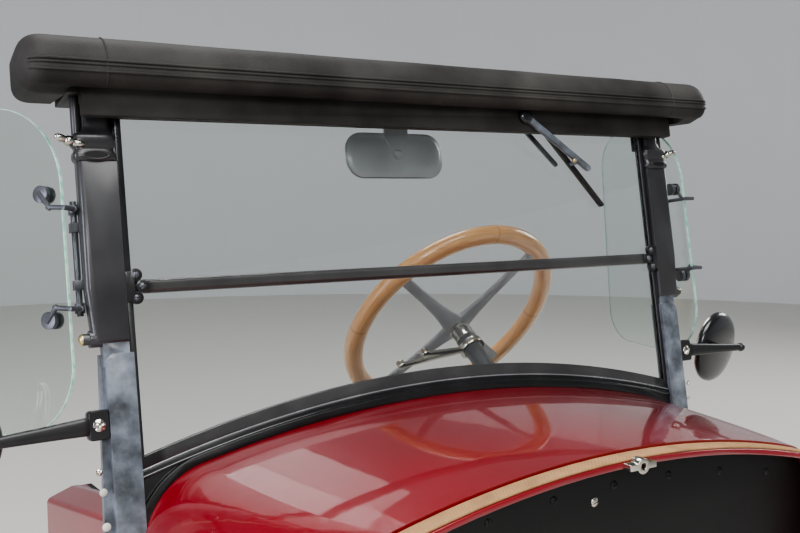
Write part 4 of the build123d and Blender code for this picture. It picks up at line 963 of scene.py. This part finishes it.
for x in np.arange(-3, 4) * board["pitch"]:
    # seven screws below the ledge, falling to the sides with its crown by x^2 / fall
    seat = (x, board["face"], board["top"] - x * x / board["fall"])
    sunk.append(screwHead(*board["screw"], seat, forwards, 0.7 + x))
x, z, r, high, slotTurn = board["plug"]
bright.append(screwHead(r, high, (x, board["face"], z), forwards, slotTurn))
boltHeads = []
for angle in np.radians(wheel["arms"]):
    for reach in wheel["bolts"]:
        seat = onWheel(reach * math.cos(angle), reach * math.sin(angle), armLevel(reach) + wheel["boltSeat"])
        boltHeads.append(domed(wheel["boltRadius"], wheel["boltHeight"], seat, wheelZ, 2.0, 16))
newPiece("brassKnobs", merge(*brassy), "brass", sharp=60)
newPiece("spokeBolts", merge(*boltHeads), "dark_steel", body="steering_wheel", sharp=60)
newPiece("bulkheadScrews", merge(*sunk), "pitch_enamel", sharp=60)
newPiece("darkScrews", merge(*dark), "dark_steel", sharp=60)
newPiece("brightScrews", merge(*bright), "nickel", sharp=60)
newPiece("paleBuffers", merge(*pale), "white_rubber", sharp=60)


# Wiper: turned boss over the spindle and a brass clip on the arm, both moving with it
wiper = {"boss": ((12.0, 38.6), (12.8, 40.0), (12.8, 47.5), (11.4, 49.6), (7.0, 50.6), (0.6, 51.0)),
         "axis": (197.0, 259.0, 0.0), "clip": (296.0, 181.0, 48.0), "clipRadius": 4.0, "clipHeight": 3.0}
newPiece("wiperBoss", lathe(wiper["boss"], onScreen(*wiper["axis"]), out, 32), "black_paint", body="wiper",
         sharp=50)
newPiece("wiperClip", domed(wiper["clipRadius"], wiper["clipHeight"], onScreen(*wiper["clip"]), out, 3.0),
         "brass", body="wiper")
print("fastenings driven")


# Studio: pale floor, a low pale wall round it, and soft boxes
studio = {"floor": "#C9C7C2", "wall": "#D2D4D5", "sky": "#C8CCD0", "skyStrength": 0.3, "reach": 7.0,
          "wallHeight": 2.7, "wallSides": 64}


def studioSurface(name, points, faces, colour):
    mesh = bpy.data.meshes.new(name)
    mesh.from_pydata(points, [], faces)
    obj = addObject(name, mesh)
    material, tree, shader, spot = newMaterial(name + "Paint")
    cloud = addNode(tree, "TexNoise", {"Scale": 1.5, "Detail": 2.0}, Vector=spot)
    shaded = tuple(c * 0.96 for c in linear(colour)[:3]) + (1.0,)
    tint = addNode(tree, "Mix", {"data_type": "RGBA", 6: linear(colour), 7: shaded}, {0: cloud})
    dress(shader, {"Base Color": tint.outputs[2]}, Roughness=0.8)
    obj.data.materials.append(material)
    obj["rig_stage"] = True


reach, sides = studio["reach"], studio["wallSides"]
studioSurface("floor", [(-reach, -reach, 0), (reach, -reach, 0), (reach, reach, 0), (-reach, reach, 0)],
              [(0, 1, 2, 3)], studio["floor"])
ring = [(reach * 0.98 * math.cos(a), reach * 0.98 * math.sin(a)) for a in fullTurn(sides)]
studioSurface("wall", [(x, y, z) for z in (0.0, studio["wallHeight"]) for x, y in ring],
              [(i, (i + 1) % sides, sides + (i + 1) % sides, sides + i) for i in range(sides)],
              studio["wall"])


def softBox(name, stand, target, size, watts, colour="#FFFFFF", longWay=None):
    data = bpy.data.lights.new(name, "AREA")
    data.shape = "RECTANGLE"
    data.size, data.size_y = size
    data.energy = watts
    data.color = linear(colour)[:3]
    lamp = addObject(name, data)
    lamp.location = stand
    back = (Vector(stand) - Vector(target)).normalized()
    if longWay:
        # the light's long side lies along longWay
        lengthwise = Vector(longWay).normalized()
        lamp.rotation_euler = Matrix((lengthwise.cross(back), lengthwise, back)).transposed().to_euler()
    else:
        lamp.rotation_euler = (-back).to_track_quat("-Z", "Y").to_euler()


softBox("overheadBox", (-0.6, -1.6, 4.4), (0, 0, 0.7), (3.2, 2.4), 180)
softBox("leftStrip", (-3.4, -0.5, 1.5), (-0.3, 0.1, 0.9), (0.9, 2.2), 66, "#EDEBFF")
softBox("frontBox", (-1.8, -3.8, 2.4), (0, 0, 0.8), (1.6, 1.2), 60)
softBox("rightBox", (4.2, 0.6, 2.4), (0, 0, 0.7), (1.6, 1.6), 50)
softBox("rearBox", (0.5, 3.0, 6.0), (0, 0.2, 0.8), (3.0, 1.2), 120)
# a tall window behind the car, seen as a reflection in the enamel
softBox("windowPane", (0.66, 3.5, 2.72), (0.66, 0.0, 2.72), (0.82, 1.2), 3.3, longWay=(0.487, 0.0, 0.873))

world = bpy.data.worlds.new("studioWorld")
world.use_nodes = True
sky = world.node_tree.nodes["Background"]
sky.inputs["Color"].default_value = linear(studio["sky"])
sky.inputs["Strength"].default_value = studio["skyStrength"]
bpy.context.scene.world = world
bpy.context.scene.view_settings.view_transform = "AgX"
bpy.context.scene.view_settings.look = "AgX - Medium High Contrast"
print("studio lit")

low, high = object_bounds()
